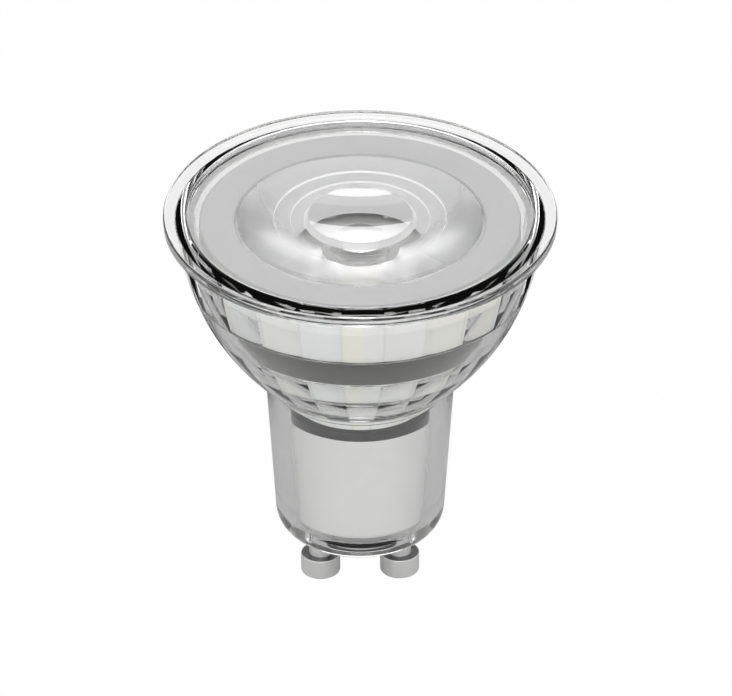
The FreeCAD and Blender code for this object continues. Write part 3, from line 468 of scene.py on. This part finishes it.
settle(holder, ["lens_holder"])

# %% Heat sink
SINK_GAP, SINK_WALL, SINK_FLOOR, SINK_ROUND = 0.08, 1.2, 1.2, 0.8
outer_foot = inner_bowl(BAND_FOOT) - SINK_GAP
outer_top = inner_bowl(BAND_TOP) - SINK_GAP
lean = (outer_top - outer_foot) / (BAND_TOP - BAND_FOOT)
floor_edge = outer_foot + lean * SINK_FLOOR - SINK_WALL
hollow = rounded((outer_top - SINK_WALL, BAND_TOP), (floor_edge, BAND_FOOT + SINK_FLOOR),
                 (0, BAND_FOOT + SINK_FLOOR), SINK_ROUND, 6)
section = [(0, BAND_FOOT), (outer_foot - SMALL_BEVEL, BAND_FOOT),
           (outer_foot, BAND_FOOT + SMALL_BEVEL), (outer_top, BAND_TOP - SMALL_BEVEL),
           (outer_top - SMALL_BEVEL, BAND_TOP), (outer_top - SINK_WALL, BAND_TOP)]
heat_sink = spin_section("sink", section + hollow + [(0, BAND_FOOT + SINK_FLOOR)], PART_STEPS)
smooth(heat_sink, CRISP_METAL)
settle(heat_sink, ["heat_sink"])

# %% [markdown]
# ## Base: driver sleeve, funnel and contact pins
# The sleeve is a thin white moulding with a rounded bottom. Its slots and ribs are hidden by its
# own wall, so the turned shell is enough from outside. The funnel stands on the sleeve's cap and
# opens out to line the facets. Its foot gets a line of points of its own, above which a darker
# finish can start, because that part lies in shadow between the two.

# %% Driver sleeve
HOUSING_FOOT, HOUSING_TOP, CAP_TOP = 10.0, 25.5, 26.7
HOUSING_GAP, HOUSING_WALL, HOUSING_ROUND, EDGE = 0.15, 0.9, 0.9, 0.12


def housing_radius(height):
    return cavity_radius(height) - HOUSING_GAP


floor_top = HOUSING_FOOT + HOUSING_WALL
outer_top, bore = housing_radius(HOUSING_TOP), housing_radius(HOUSING_TOP) - HOUSING_WALL
section = [(0, HOUSING_FOOT)]
section += rounded((0, HOUSING_FOOT), (housing_radius(HOUSING_FOOT), HOUSING_FOOT),
                   (outer_top, HOUSING_TOP), HOUSING_ROUND, 8)
section += [(outer_top, HOUSING_TOP), (bore, HOUSING_TOP),
            (housing_radius(floor_top) - HOUSING_WALL, floor_top), (0, floor_top)]
driver_housing = spin_section("housing", section, SMALL_STEPS)
smooth(driver_housing, CRISP_METAL)
settle(driver_housing, ["driver_housing"])

# %% Funnel
FUNNEL_GAP, FUNNEL_WALL, FUNNEL_INSET, SEAT_GAP, FOOT_LINE = 0.3, 0.9, 0.9, 0.05, 27.5

lined = [(inner_bowl(height) * flat_share - FUNNEL_GAP, height)
         for height in (THROAT, LOWER_ROW_FOOT, MIDDLE_ROW_FOOT, BAND_FOOT)]
lined[-1] = (lined[-1][0], BAND_FOOT - SEAT_GAP)
ledge, foot_radius = (CAP_TOP + THROAT) / 2, lined[0][0] - FUNNEL_INSET
section = [(foot_radius - FUNNEL_WALL, THROAT), (foot_radius - FUNNEL_WALL, CAP_TOP),
           (foot_radius, CAP_TOP), (foot_radius, FOOT_LINE), (foot_radius, ledge),
           (lined[0][0], ledge)] + lined
section += [(radius - FUNNEL_WALL, height) for radius, height in reversed(lined[1:])]
funnel = spin_section("funnel", section + section[:1], SMALL_STEPS)
smooth(funnel, CRISP_METAL)
settle(funnel, ["driver_funnel"])

# %% [markdown]
# The pins are turned parts with a flat head, a thinner neck and a shank that goes through the
# glass. The section is turned on the axis and then moved out to the pin's place in edit mode, so
# that the object itself stays at the origin.

# %% Contact pins
HEAD_RADIUS, HEAD_HEIGHT, HEAD_ROUND = 2.475, 2.75, 0.4
PIN_NECK, PIN_REACH, SHANK_TOP, PIN_STEPS = 1.45, 6.95, 11.95, 72

section = [(0, 0)]
section += rounded((0, 0), (HEAD_RADIUS, 0), (HEAD_RADIUS, HEAD_HEIGHT), HEAD_ROUND, 6)
section += rounded((HEAD_RADIUS, 0), (HEAD_RADIUS, HEAD_HEIGHT), (0, HEAD_HEIGHT), EDGE, 3)
section += [(PIN_NECK, HEAD_HEIGHT), (PIN_NECK, PIN_REACH), (SHANK_RADIUS, PIN_REACH)]
section += rounded((SHANK_RADIUS, PIN_REACH), (SHANK_RADIUS, SHANK_TOP), (0, SHANK_TOP), EDGE, 3)
section += [(0, SHANK_TOP)]
for side, node in ((-1, "contact_pin_left"), (1, "contact_pin_right")):
    pin = spin_section("pin_left" if side < 0 else "pin_right", section, PIN_STEPS)
    bpy.ops.object.mode_set(mode="EDIT")
    bpy.ops.mesh.select_all(action="SELECT")
    bpy.ops.transform.translate(value=(side * PIN_PLACE * MM, 0, 0))
    bpy.ops.object.mode_set(mode="OBJECT")
    smooth(pin, CRISP_METAL)
    settle(pin, [node])

# %% [markdown]
# ## Finishes
# Every finish is a Principled shader driven by noise on Object coordinates, so nothing slides
# when the camera moves. One noise, the grain, drives colour, roughness and a shallow bump
# together, as on a real surface, where a small pit is also a little darker and duller.

# %% Shader nodes
SMOOTHER, ROUGHER = 0.85, 1.15


def new_finish(name):
    material = bpy.data.materials.new(name)
    material.use_nodes = True
    tree = material.node_tree
    return material, tree, tree.nodes["Principled BSDF"]


def add_node(tree, kind, inputs=None, **settings):
    node = tree.nodes.new(kind)
    for key, value in settings.items():
        setattr(node, key, value)
    for key, value in (inputs or {}).items():
        node.inputs[key].default_value = value
    return node


def grain(tree, per_metre, stretch=(1, 1, 1), detail=4):
    """A noise on Object coordinates, with so many grains to a metre."""
    place = add_node(tree, "ShaderNodeTexCoord")
    mapping = add_node(tree, "ShaderNodeMapping", {"Scale": stretch})
    texture = add_node(tree, "ShaderNodeTexNoise", {"Scale": per_metre, "Detail": detail})
    tree.links.new(place.outputs["Object"], mapping.inputs["Vector"])
    tree.links.new(mapping.outputs["Vector"], texture.inputs["Vector"])
    return texture.outputs["Fac"]


def blend_colours(tree, factor, shader, first, second):
    ramp = add_node(tree, "ShaderNodeValToRGB")
    low, high = ramp.color_ramp.elements
    low.position, high.position = 0.35, 0.65
    low.color, high.color = (*first, 1), (*second, 1)
    tree.links.new(factor, ramp.inputs["Fac"])
    tree.links.new(ramp.outputs["Color"], shader.inputs["Base Color"])


def vary_roughness(tree, factor, shader, middle):
    spread = add_node(tree, "ShaderNodeMapRange",
                      {"From Min": 0.3, "From Max": 0.7,
                       "To Min": middle * SMOOTHER, "To Max": middle * ROUGHER})
    tree.links.new(factor, spread.inputs["Value"])
    tree.links.new(spread.outputs["Result"], shader.inputs["Roughness"])


def raise_bumps(tree, factor, shader, height, strength=0.5):
    bump = add_node(tree, "ShaderNodeBump", {"Strength": strength, "Distance": height})
    tree.links.new(factor, bump.inputs["Height"])
    tree.links.new(bump.outputs["Normal"], shader.inputs["Normal"])


def shade(value, share):
    return tuple(channel * share for channel in value)


print("a finish varies its roughness from", SMOOTHER, "to", ROUGHER, "of its own")

# %% [markdown]
# Opaque parts take the solid finish. Clear parts keep plain transmission, and the very shallow
# bump stands for the waviness that pressed glass and moulded plastic keep from their mould.

# %% Solid and clear finishes
def solid_finish(name, colour, roughness, per_metre, height, metal=0.0, spread=0.06,
                 stretch=(1, 1, 1)):
    """A finish whose colour, roughness and small relief all follow one grain."""
    material, tree, shader = new_finish(name)
    factor = grain(tree, per_metre, stretch)
    blend_colours(tree, factor, shader, shade(colour, 1 - spread), shade(colour, 1 + spread))
    vary_roughness(tree, factor, shader, roughness)
    raise_bumps(tree, factor, shader, height)
    shader.inputs["Metallic"].default_value = metal
    return material


def clear_finish(name, colour, ior, per_metre, height, roughness=0.0):
    """A clear moulding: white transmission, with a very shallow waviness."""
    material, tree, shader = new_finish(name)
    wave = grain(tree, per_metre, detail=1)
    blend_colours(tree, wave, shader, shade(colour, 0.997), colour)
    raise_bumps(tree, wave, shader, height, 1.0)
    shader.inputs["Transmission Weight"].default_value = 1.0
    shader.inputs["IOR"].default_value = ior
    shader.inputs["Roughness"].default_value = roughness
    return material


def add_hard_coat(material, index):
    """A hard clear layer on top, which mirrors more than the moulding below it."""
    inputs = material.node_tree.nodes["Principled BSDF"].inputs
    inputs["Coat Weight"].default_value = 1.0
    inputs["Coat Roughness"].default_value = 0.0
    inputs["Coat IOR"].default_value = index


# %% [markdown]
# Seen through the facets, the pale parts look like a row of panels, each of a slightly other
# white, with a dark edge between them. Both are painted: each tint stands in for the light that its
# facet passes and mirrors, and the dark edge is a painted shade for the dark wedge between two
# facets. The panels are counted round the axis. The whole part of the count picks a tint by
# chance, and its fraction draws the painted shade.

# %% Panels behind the facets
def facet_angle(tree):
    """How many facets lie between the front and a point, as a number that runs round the axis."""
    place = add_node(tree, "ShaderNodeTexCoord")
    axes = add_node(tree, "ShaderNodeSeparateXYZ")
    turn = add_node(tree, "ShaderNodeMath", operation="ARCTAN2")
    count = add_node(tree, "ShaderNodeMath", {1: FACETS / (2 * math.pi), 2: FACETS + 0.5},
                     operation="MULTIPLY_ADD")
    tree.links.new(place.outputs["Object"], axes.inputs["Vector"])
    tree.links.new(axes.outputs["X"], turn.inputs[0])
    tree.links.new(axes.outputs["Y"], turn.inputs[1])
    tree.links.new(turn.outputs[0], count.inputs[0])
    return count.outputs[0]


# Painted shade: the dark colour drawn along each facet edge, and where across the facet it starts.
FACET_SHADE_START, FACET_SHADE_COLOUR, PANEL_GRAIN = 0.44, (0.2, 0.2, 0.19, 1), 900


def painted_facet_finish(name, first, second, roughness, edge_shade):
    """A pale moulding, a panel behind each facet, with painted tints and painted edge shade."""
    material, tree, shader = new_finish(name)
    count = facet_angle(tree)
    panel = add_node(tree, "ShaderNodeMath", operation="FLOOR")
    chance = add_node(tree, "ShaderNodeTexWhiteNoise", noise_dimensions="1D")
    tree.links.new(count, panel.inputs[0])
    tree.links.new(panel.outputs[0], chance.inputs["W"])
    blend_colours(tree, chance.outputs["Value"], shader, first, second)
    tint = shader.inputs["Base Color"].links[0].from_socket
    part = add_node(tree, "ShaderNodeMath", operation="FRACT")
    edge = add_node(tree, "ShaderNodeMath", {1: 0.5}, operation="SUBTRACT")
    away = add_node(tree, "ShaderNodeMath", operation="ABSOLUTE")
    line = add_node(tree, "ShaderNodeMapRange", {"From Min": FACET_SHADE_START, "From Max": 0.5,
                                                 "To Min": 0.0, "To Max": edge_shade})
    tree.links.new(count, part.inputs[0])
    tree.links.new(part.outputs[0], edge.inputs[0])
    tree.links.new(edge.outputs[0], away.inputs[0])
    tree.links.new(away.outputs[0], line.inputs["Value"])
    mix = add_node(tree, "ShaderNodeMix", data_type="RGBA")
    mix.inputs["B"].default_value = FACET_SHADE_COLOUR
    tree.links.new(line.outputs["Result"], mix.inputs["Factor"])
    tree.links.new(tint, mix.inputs["A"])
    tree.links.new(mix.outputs["Result"], shader.inputs["Base Color"])
    factor = grain(tree, PANEL_GRAIN)
    vary_roughness(tree, factor, shader, roughness)
    raise_bumps(tree, factor, shader, 0.006 * MM)
    return material


# %% [markdown]
# A round piece can wear more than one finish. Its faces are picked by their distance from the
# axis and their height, in millimetres, so the border follows a ring of the section.

# %% Finishes by part of a piece
def wear(piece, material, *parts):
    """One finish for the piece, and others for the faces that a test of radius and height picks."""
    piece.data.materials.clear()
    piece.data.materials.append(material)
    for index, (other, test) in enumerate(parts, 1):
        piece.data.materials.append(other)
        for face in piece.data.polygons:
            x, y, z = (value / MM for value in face.center)
            if test(math.hypot(x, y), z):
                face.material_index = index


# %% [markdown]
# The glass is almost colourless. The lens is clear on its face and frosted on its underside and
# in the pocket, which blurs what stands below it. The beads of its rings are dull and half opaque,
# and they glow very faintly, a painted highlight in place of the light that a real bead catches
# from all round. The beads and the disc in the middle also mirror more than plain plastic would,
# which a hard coat with a high index gives.

# %% Clear parts
GLASS_TINT, LENS_TINT = (0.998, 1.0, 0.998), (0.998, 0.998, 1.0)
GLASS_INDEX, LENS_INDEX, COAT_INDEX, BEAD_GLOW = 1.5, 1.49, 1.9, 0.12
WAVE, LENS_WAVE = 0.004 * MM, 0.002 * MM

frosted_glowing_edge = solid_finish("lens_edge_painted_glow", (0.95, 0.95, 0.95), 0.5, 900, LENS_WAVE, spread=0.01)
edge_inputs = frosted_glowing_edge.node_tree.nodes["Principled BSDF"].inputs
edge_inputs["Transmission Weight"].default_value = 0.4
# Painted highlight: the beads glow faintly, in place of the light that a real bead catches.
edge_inputs["Emission Color"].default_value = (1, 1, 1, 1)
edge_inputs["Emission Strength"].default_value = BEAD_GLOW
coated = clear_finish("lens_disc", LENS_TINT, LENS_INDEX, 220, LENS_WAVE)
for finish in (coated, frosted_glowing_edge):
    add_hard_coat(finish, COAT_INDEX)
wear(glass_body, clear_finish("clear_glass", GLASS_TINT, GLASS_INDEX, 260, WAVE))
wear(front_lens, clear_finish("lens_clear", LENS_TINT, LENS_INDEX, 220, LENS_WAVE),
     (clear_finish("lens_frosted", LENS_TINT, LENS_INDEX, 220, LENS_WAVE, 0.25),
      lambda radius, height: height < LENS_UNDERSIDE - 0.05),
     (frosted_glowing_edge, lambda radius, height: height > LENS_UNDERSIDE
      and any(ring - 0.02 < radius < ring + BEAD / 2 for ring in RINGS)),
     (coated, lambda radius, height: height > LENS_UNDERSIDE
      and radius < DISC_RADIUS + DISC_EDGE))
print("clear parts finished")

# %% [markdown]
# Behind the glass stand white mouldings and a dark metal dish. Some of their faces lie where
# hardly any light comes in on the real lamp: the bottom of the sleeve, the foot of the funnel
# and the shoulder of each pin's head. Those faces get a darker finish of their own.

# %% Shown parts behind the glass
# Painted shade: the holder's top is the same pale moulding, painted darker because the lights
# overhead fall on it most.
wear(holder, painted_facet_finish("holder_skirt", (0.9, 0.89, 0.82), (0.86, 0.875, 0.87), 0.45, 0.15),
     (solid_finish("holder_white", (0.67, 0.67, 0.67), 0.45, 700, 0.006 * MM, spread=0.01),
      lambda radius, height: height > plate_foot),
     (solid_finish("holder_cup", (0.95, 0.95, 0.95), 0.45, 700, 0.006 * MM, spread=0.01),
      lambda radius, height: radius < opening + 1 and height < plate_foot))
wear(funnel, painted_facet_finish("funnel_white", (0.95, 0.95, 0.88), (0.93, 0.95, 0.94), 0.5, 0.2),
     (solid_finish("funnel_foot", (0.1, 0.1, 0.1), 0.5, 700, 0.006 * MM),
      lambda radius, height: FOOT_LINE < height < ledge))
wear(heat_sink, solid_finish("sink_grey", (0.115, 0.115, 0.108), 0.35, 700, 0.005 * MM,
                             metal=0.3, spread=0.03))
wear(driver_housing, solid_finish("housing_white", (0.77, 0.765, 0.765), 0.4, 700, 0.008 * MM,
                                  spread=0.01),
     (solid_finish("housing_floor", (0.06, 0.06, 0.06), 0.5, 700, 0.008 * MM),
      lambda radius, height: height < HOUSING_FOOT + 0.05))
metal = solid_finish("pin_metal", (0.85, 0.85, 0.84), 0.32, 6000, 0.0005 * MM, metal=0.5,
                     spread=0.01, stretch=(1, 1, 6))
shoulder_metal = solid_finish("pin_shoulder", (0.16, 0.16, 0.16), 0.3, 1500, 0.002 * MM, metal=1.0)
for piece in bpy.data.objects:
    if piece.name.startswith("pin_") and piece.type == "MESH" and "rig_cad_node" not in piece:
        wear(piece, metal, (shoulder_metal,
                            lambda radius, height: abs(height - HEAD_HEIGHT) < 0.01))

# %% [markdown]
# The nodes inside are seen in part through the lens and the bowl. Each gets the finish of its
# real material, assigned to its object's slots, apart from the cap: its near black is painted
# shade.

# %% Finishes of the imported nodes
# node: colour, roughness, grains to a metre, height of the bumps in millimetres, share of metal
INSIDE = {
    "lens_adhesive": ((0.95, 0.95, 0.95), 0.35, 1200, 0.006, 0.0),
    "thermal_pad": ((0.55, 0.57, 0.6), 0.7, 1500, 0.01, 0.0),
    "led_board": ((0.55, 0.55, 0.54), 0.35, 2000, 0.004, 0.0),
    "led_package": ((0.75, 0.75, 0.73), 0.4, 3000, 0.004, 0.0),
    "led_phosphor": ((0.93, 0.9, 0.74), 0.5, 4000, 0.01, 0.0),
    "board_screws": ((0.6, 0.6, 0.6), 0.35, 2500, 0.004, 1.0),
    "pin_washer_left": ((0.6, 0.6, 0.59), 0.4, 2500, 0.004, 1.0),
    "pin_washer_right": ((0.6, 0.6, 0.59), 0.4, 2500, 0.004, 1.0),
    # Painted shade: the cap is near black so that the band round the neck shows dark.
    "housing_cap": ((0.07, 0.07, 0.07), 0.4, 700, 0.008, 0.0),
    "driver_board": ((0.08, 0.3, 0.16), 0.35, 1800, 0.004, 0.0),
    "bulk_capacitor": ((0.05, 0.05, 0.06), 0.3, 900, 0.006, 0.0),
    "choke": ((0.14, 0.13, 0.13), 0.55, 2200, 0.02, 0.0),
    "bridge_rectifier": ((0.06, 0.06, 0.06), 0.5, 3000, 0.008, 0.0),
    "driver_chip": ((0.06, 0.06, 0.06), 0.5, 3000, 0.008, 0.0),
    "fuse_resistor": ((0.62, 0.5, 0.36), 0.4, 1800, 0.006, 0.0),
    "film_capacitor": ((0.75, 0.55, 0.12), 0.25, 900, 0.004, 0.0),
    "chip_parts": ((0.42, 0.34, 0.26), 0.45, 3500, 0.004, 0.0),
    "mains_wire_left": ((0.82, 0.82, 0.82), 0.45, 1500, 0.004, 0.0),
    "mains_wire_right": ((0.82, 0.82, 0.82), 0.45, 1500, 0.004, 0.0),
    "led_wire_negative": ((0.05, 0.05, 0.05), 0.45, 1500, 0.004, 0.0),
    "led_wire_positive": ((0.6, 0.06, 0.05), 0.45, 1500, 0.004, 0.0),
    "solder_joints": ((0.7, 0.7, 0.71), 0.3, 2500, 0.01, 1.0),
}
finishes = {}
for name, (colour, roughness, per_metre, height, metal_share) in INSIDE.items():
    if (colour, roughness) not in finishes:
        finishes[colour, roughness] = solid_finish(name, colour, roughness, per_metre,
                                                   height * MM, metal_share)
    for place in nodes[name].material_slots:
        place.material = finishes[colour, roughness]
print("finished nodes:", len(INSIDE), "with", len(finishes), "finishes")

# %% [markdown]
# ## Floor
# The floor is pale. Rays that come straight from the camera see it almost as plain white, and the
# small share that is left is lit as usual, so that a faint shadow stays under the lamp. Glass and
# metal see the floor as it is lit. With plain white there, the edges of the neck are lost in the
# background.

# %% Floor
FLOOR_SIZE, FLOOR_GREY, WHITE_SHARE = 3.0, 0.5, 0.985

bpy.ops.object.select_all(action="DESELECT")
bpy.ops.mesh.primitive_plane_add(size=FLOOR_SIZE)
floor = bpy.context.object
floor.name = "floor"
paint, tree, shader = new_finish("floor_white")
shader.inputs["Base Color"].default_value = (FLOOR_GREY, FLOOR_GREY, FLOOR_GREY, 1)
shader.inputs["Roughness"].default_value = 1.0
shader.inputs["Specular IOR Level"].default_value = 0.0
ray = add_node(tree, "ShaderNodeLightPath")
share = add_node(tree, "ShaderNodeMath", {1: WHITE_SHARE}, operation="MULTIPLY")
glow = add_node(tree, "ShaderNodeEmission", {"Strength": 1.0})
mix = add_node(tree, "ShaderNodeMixShader")
tree.links.new(ray.outputs["Is Camera Ray"], share.inputs[0])
tree.links.new(share.outputs[0], mix.inputs["Fac"])
tree.links.new(shader.outputs[0], mix.inputs[1])
tree.links.new(glow.outputs[0], mix.inputs[2])
tree.links.new(mix.outputs[0], tree.nodes["Material Output"].inputs["Surface"])
wear(floor, paint)
print("floor", FLOOR_SIZE, "m across")

# %% [markdown]
# Glass is lit by what stands near it, so a studio puts cards round it. A white card lies on the
# floor behind the lamp and shows through the base as light. A low black card stands on the floor
# behind the foot and keeps the bottom edge of the glass dark. The camera doesn't see either card
# directly, but the glass does. They are part of the stage and not of the lamp.

# %% Cards
def stage_card(name, level, size, place, upright=False):
    """A card that only the lamp sees. Its size and place are in millimetres."""
    bpy.ops.object.select_all(action="DESELECT")
    bpy.ops.mesh.primitive_plane_add(size=MM, rotation=(math.pi / 2 if upright else 0, 0, 0))
    card = bpy.context.object
    card.name = name
    card.scale = (*size, 1)
    card.location = [value * MM for value in place]
    bpy.ops.object.transform_apply(location=True, rotation=True, scale=True)
    card.visible_camera = False
    paint, tree, shader = new_finish(name)
    shader.inputs["Base Color"].default_value = (0, 0, 0, 1)
    shader.inputs["Specular IOR Level"].default_value = 0.0
    shader.inputs["Emission Color"].default_value = (1, 1, 1, 1)
    shader.inputs["Emission Strength"].default_value = level
    wear(card, paint)


stage_card("white_card", 1.0, (90, 100), (0, 98, 0.1))
stage_card("black_card", 0.01, (110, 8.5), (0, 42, 4.45), upright=True)
print("two cards on the stage")

# %% [markdown]
# ## Light
# Clear glass is drawn by its surroundings, and they can be read from it. The black edge of the
# lens mirrors a dark gap at the back, at the height from which the camera looks down, and the
# dished disc mirrors bright panels above and below that gap. The world is a guess at such a
# studio: an even grey, with bright and dark windows in it by direction, as soft boxes and black
# flags would make them. Straight camera rays see plain white instead.

# %% A window of directions
world = bpy.data.worlds.new("studio")
bpy.context.scene.world = world
world.use_nodes = True
tree = world.node_tree
background = tree.nodes["Background"]
background.inputs["Color"].default_value = (1, 1, 1, 1)
direction = add_node(tree, "ShaderNodeTexCoord")
axes = add_node(tree, "ShaderNodeSeparateXYZ")
tree.links.new(direction.outputs["Generated"], axes.inputs["Vector"])


def window(facing, sideways, low, high):
    """1 inside a window of directions. facing is -1 for the front and 1 for the back."""
    ahead = add_node(tree, "ShaderNodeMath", {1: facing}, operation="MULTIPLY")
    across = add_node(tree, "ShaderNodeMath", operation="DIVIDE")
    up = add_node(tree, "ShaderNodeMath", operation="DIVIDE")
    in_width = add_node(tree, "ShaderNodeMath", {1: 0.0, 2: math.tan(math.radians(sideways))},
                        operation="COMPARE")
    low, high = math.tan(math.radians(low)), math.tan(math.radians(high))
    in_height = add_node(tree, "ShaderNodeMath", {1: (low + high) / 2, 2: (high - low) / 2},
                         operation="COMPARE")
    in_front = add_node(tree, "ShaderNodeMath", {1: 0.0}, operation="GREATER_THAN")
    both = add_node(tree, "ShaderNodeMath", operation="MULTIPLY")
    inside = add_node(tree, "ShaderNodeMath", operation="MULTIPLY")
    tree.links.new(axes.outputs["Y"], ahead.inputs[0])
    for ratio, axis in ((across, "X"), (up, "Z")):
        tree.links.new(axes.outputs[axis], ratio.inputs[0])
        tree.links.new(ahead.outputs[0], ratio.inputs[1])
    tree.links.new(across.outputs[0], in_width.inputs[0])
    tree.links.new(up.outputs[0], in_height.inputs[0])
    tree.links.new(ahead.outputs[0], in_front.inputs[0])
    tree.links.new(in_width.outputs[0], both.inputs[0])
    tree.links.new(in_height.outputs[0], both.inputs[1])
    tree.links.new(both.outputs[0], inside.inputs[0])
    tree.links.new(in_front.outputs[0], inside.inputs[1])
    return inside.outputs[0]


print("a window needs a facing, a half width, and a height from and to")

# %% [markdown]
# Two wide windows overhead give the soft light from above. Of the others, the dark ones keep the
# edge of the lens black and the glass low down darker, and the bright ones stand for panels. The
# tall narrow one is a strip light, which the lens mirrors as a small highlight. Where windows
# overlap, the later one holds.

# %% World
PLAIN = 0.42
BACK, FRONT = 1, -1
# side, half width and heights from and to in degrees, brightness
ZONES = (
    (BACK, 89, 60, 89, 1.3),
    (FRONT, 89, 60, 89, 1.3),
    (BACK, 20, 28.5, 40, 0.05),
    (BACK, 24, 12, 26.5, 2.3),
    (BACK, 20, -10, 12, 0.05),
    (BACK, 24, 46, 60, 2.3),
    (BACK, 4, 56, 76, 10.0),
    (FRONT, 35, 0, 25, 3.1),
    (FRONT, 60, 58, 76, 0.5),
)
level = None
for facing, sideways, low, high, strength in ZONES:
    step = add_node(tree, "ShaderNodeMix", data_type="FLOAT")
    step.inputs["A"].default_value = PLAIN
    step.inputs["B"].default_value = strength
    tree.links.new(window(facing, sideways, low, high), step.inputs["Factor"])
    if level:
        tree.links.new(level, step.inputs["A"])
    level = step.outputs["Result"]
straight = add_node(tree, "ShaderNodeLightPath")
final = add_node(tree, "ShaderNodeMix", data_type="FLOAT")
final.inputs["B"].default_value = 1.0
tree.links.new(straight.outputs["Is Camera Ray"], final.inputs["Factor"])
tree.links.new(level, final.inputs["A"])
tree.links.new(final.outputs["Result"], background.inputs["Strength"])
print("world nodes:", len(tree.nodes))

# %% [markdown]
# A ray through this lamp passes many faces of glass before it leaves, so transmission needs many
# bounces. Inner mirror bounces are kept few: with more of them the sides turn grey, and with
# fewer the edge of the lens turns solid black.

# %% Render settings that the glass needs
scene = bpy.context.scene
scene.view_settings.view_transform = "Standard"
scene.cycles.max_bounces = 24
scene.cycles.transmission_bounces = 24
scene.cycles.glossy_bounces = 6
scene.cycles.blur_glossy = 0.0
print("bounces:", scene.cycles.max_bounces, "of which mirrored:", scene.cycles.glossy_bounces)
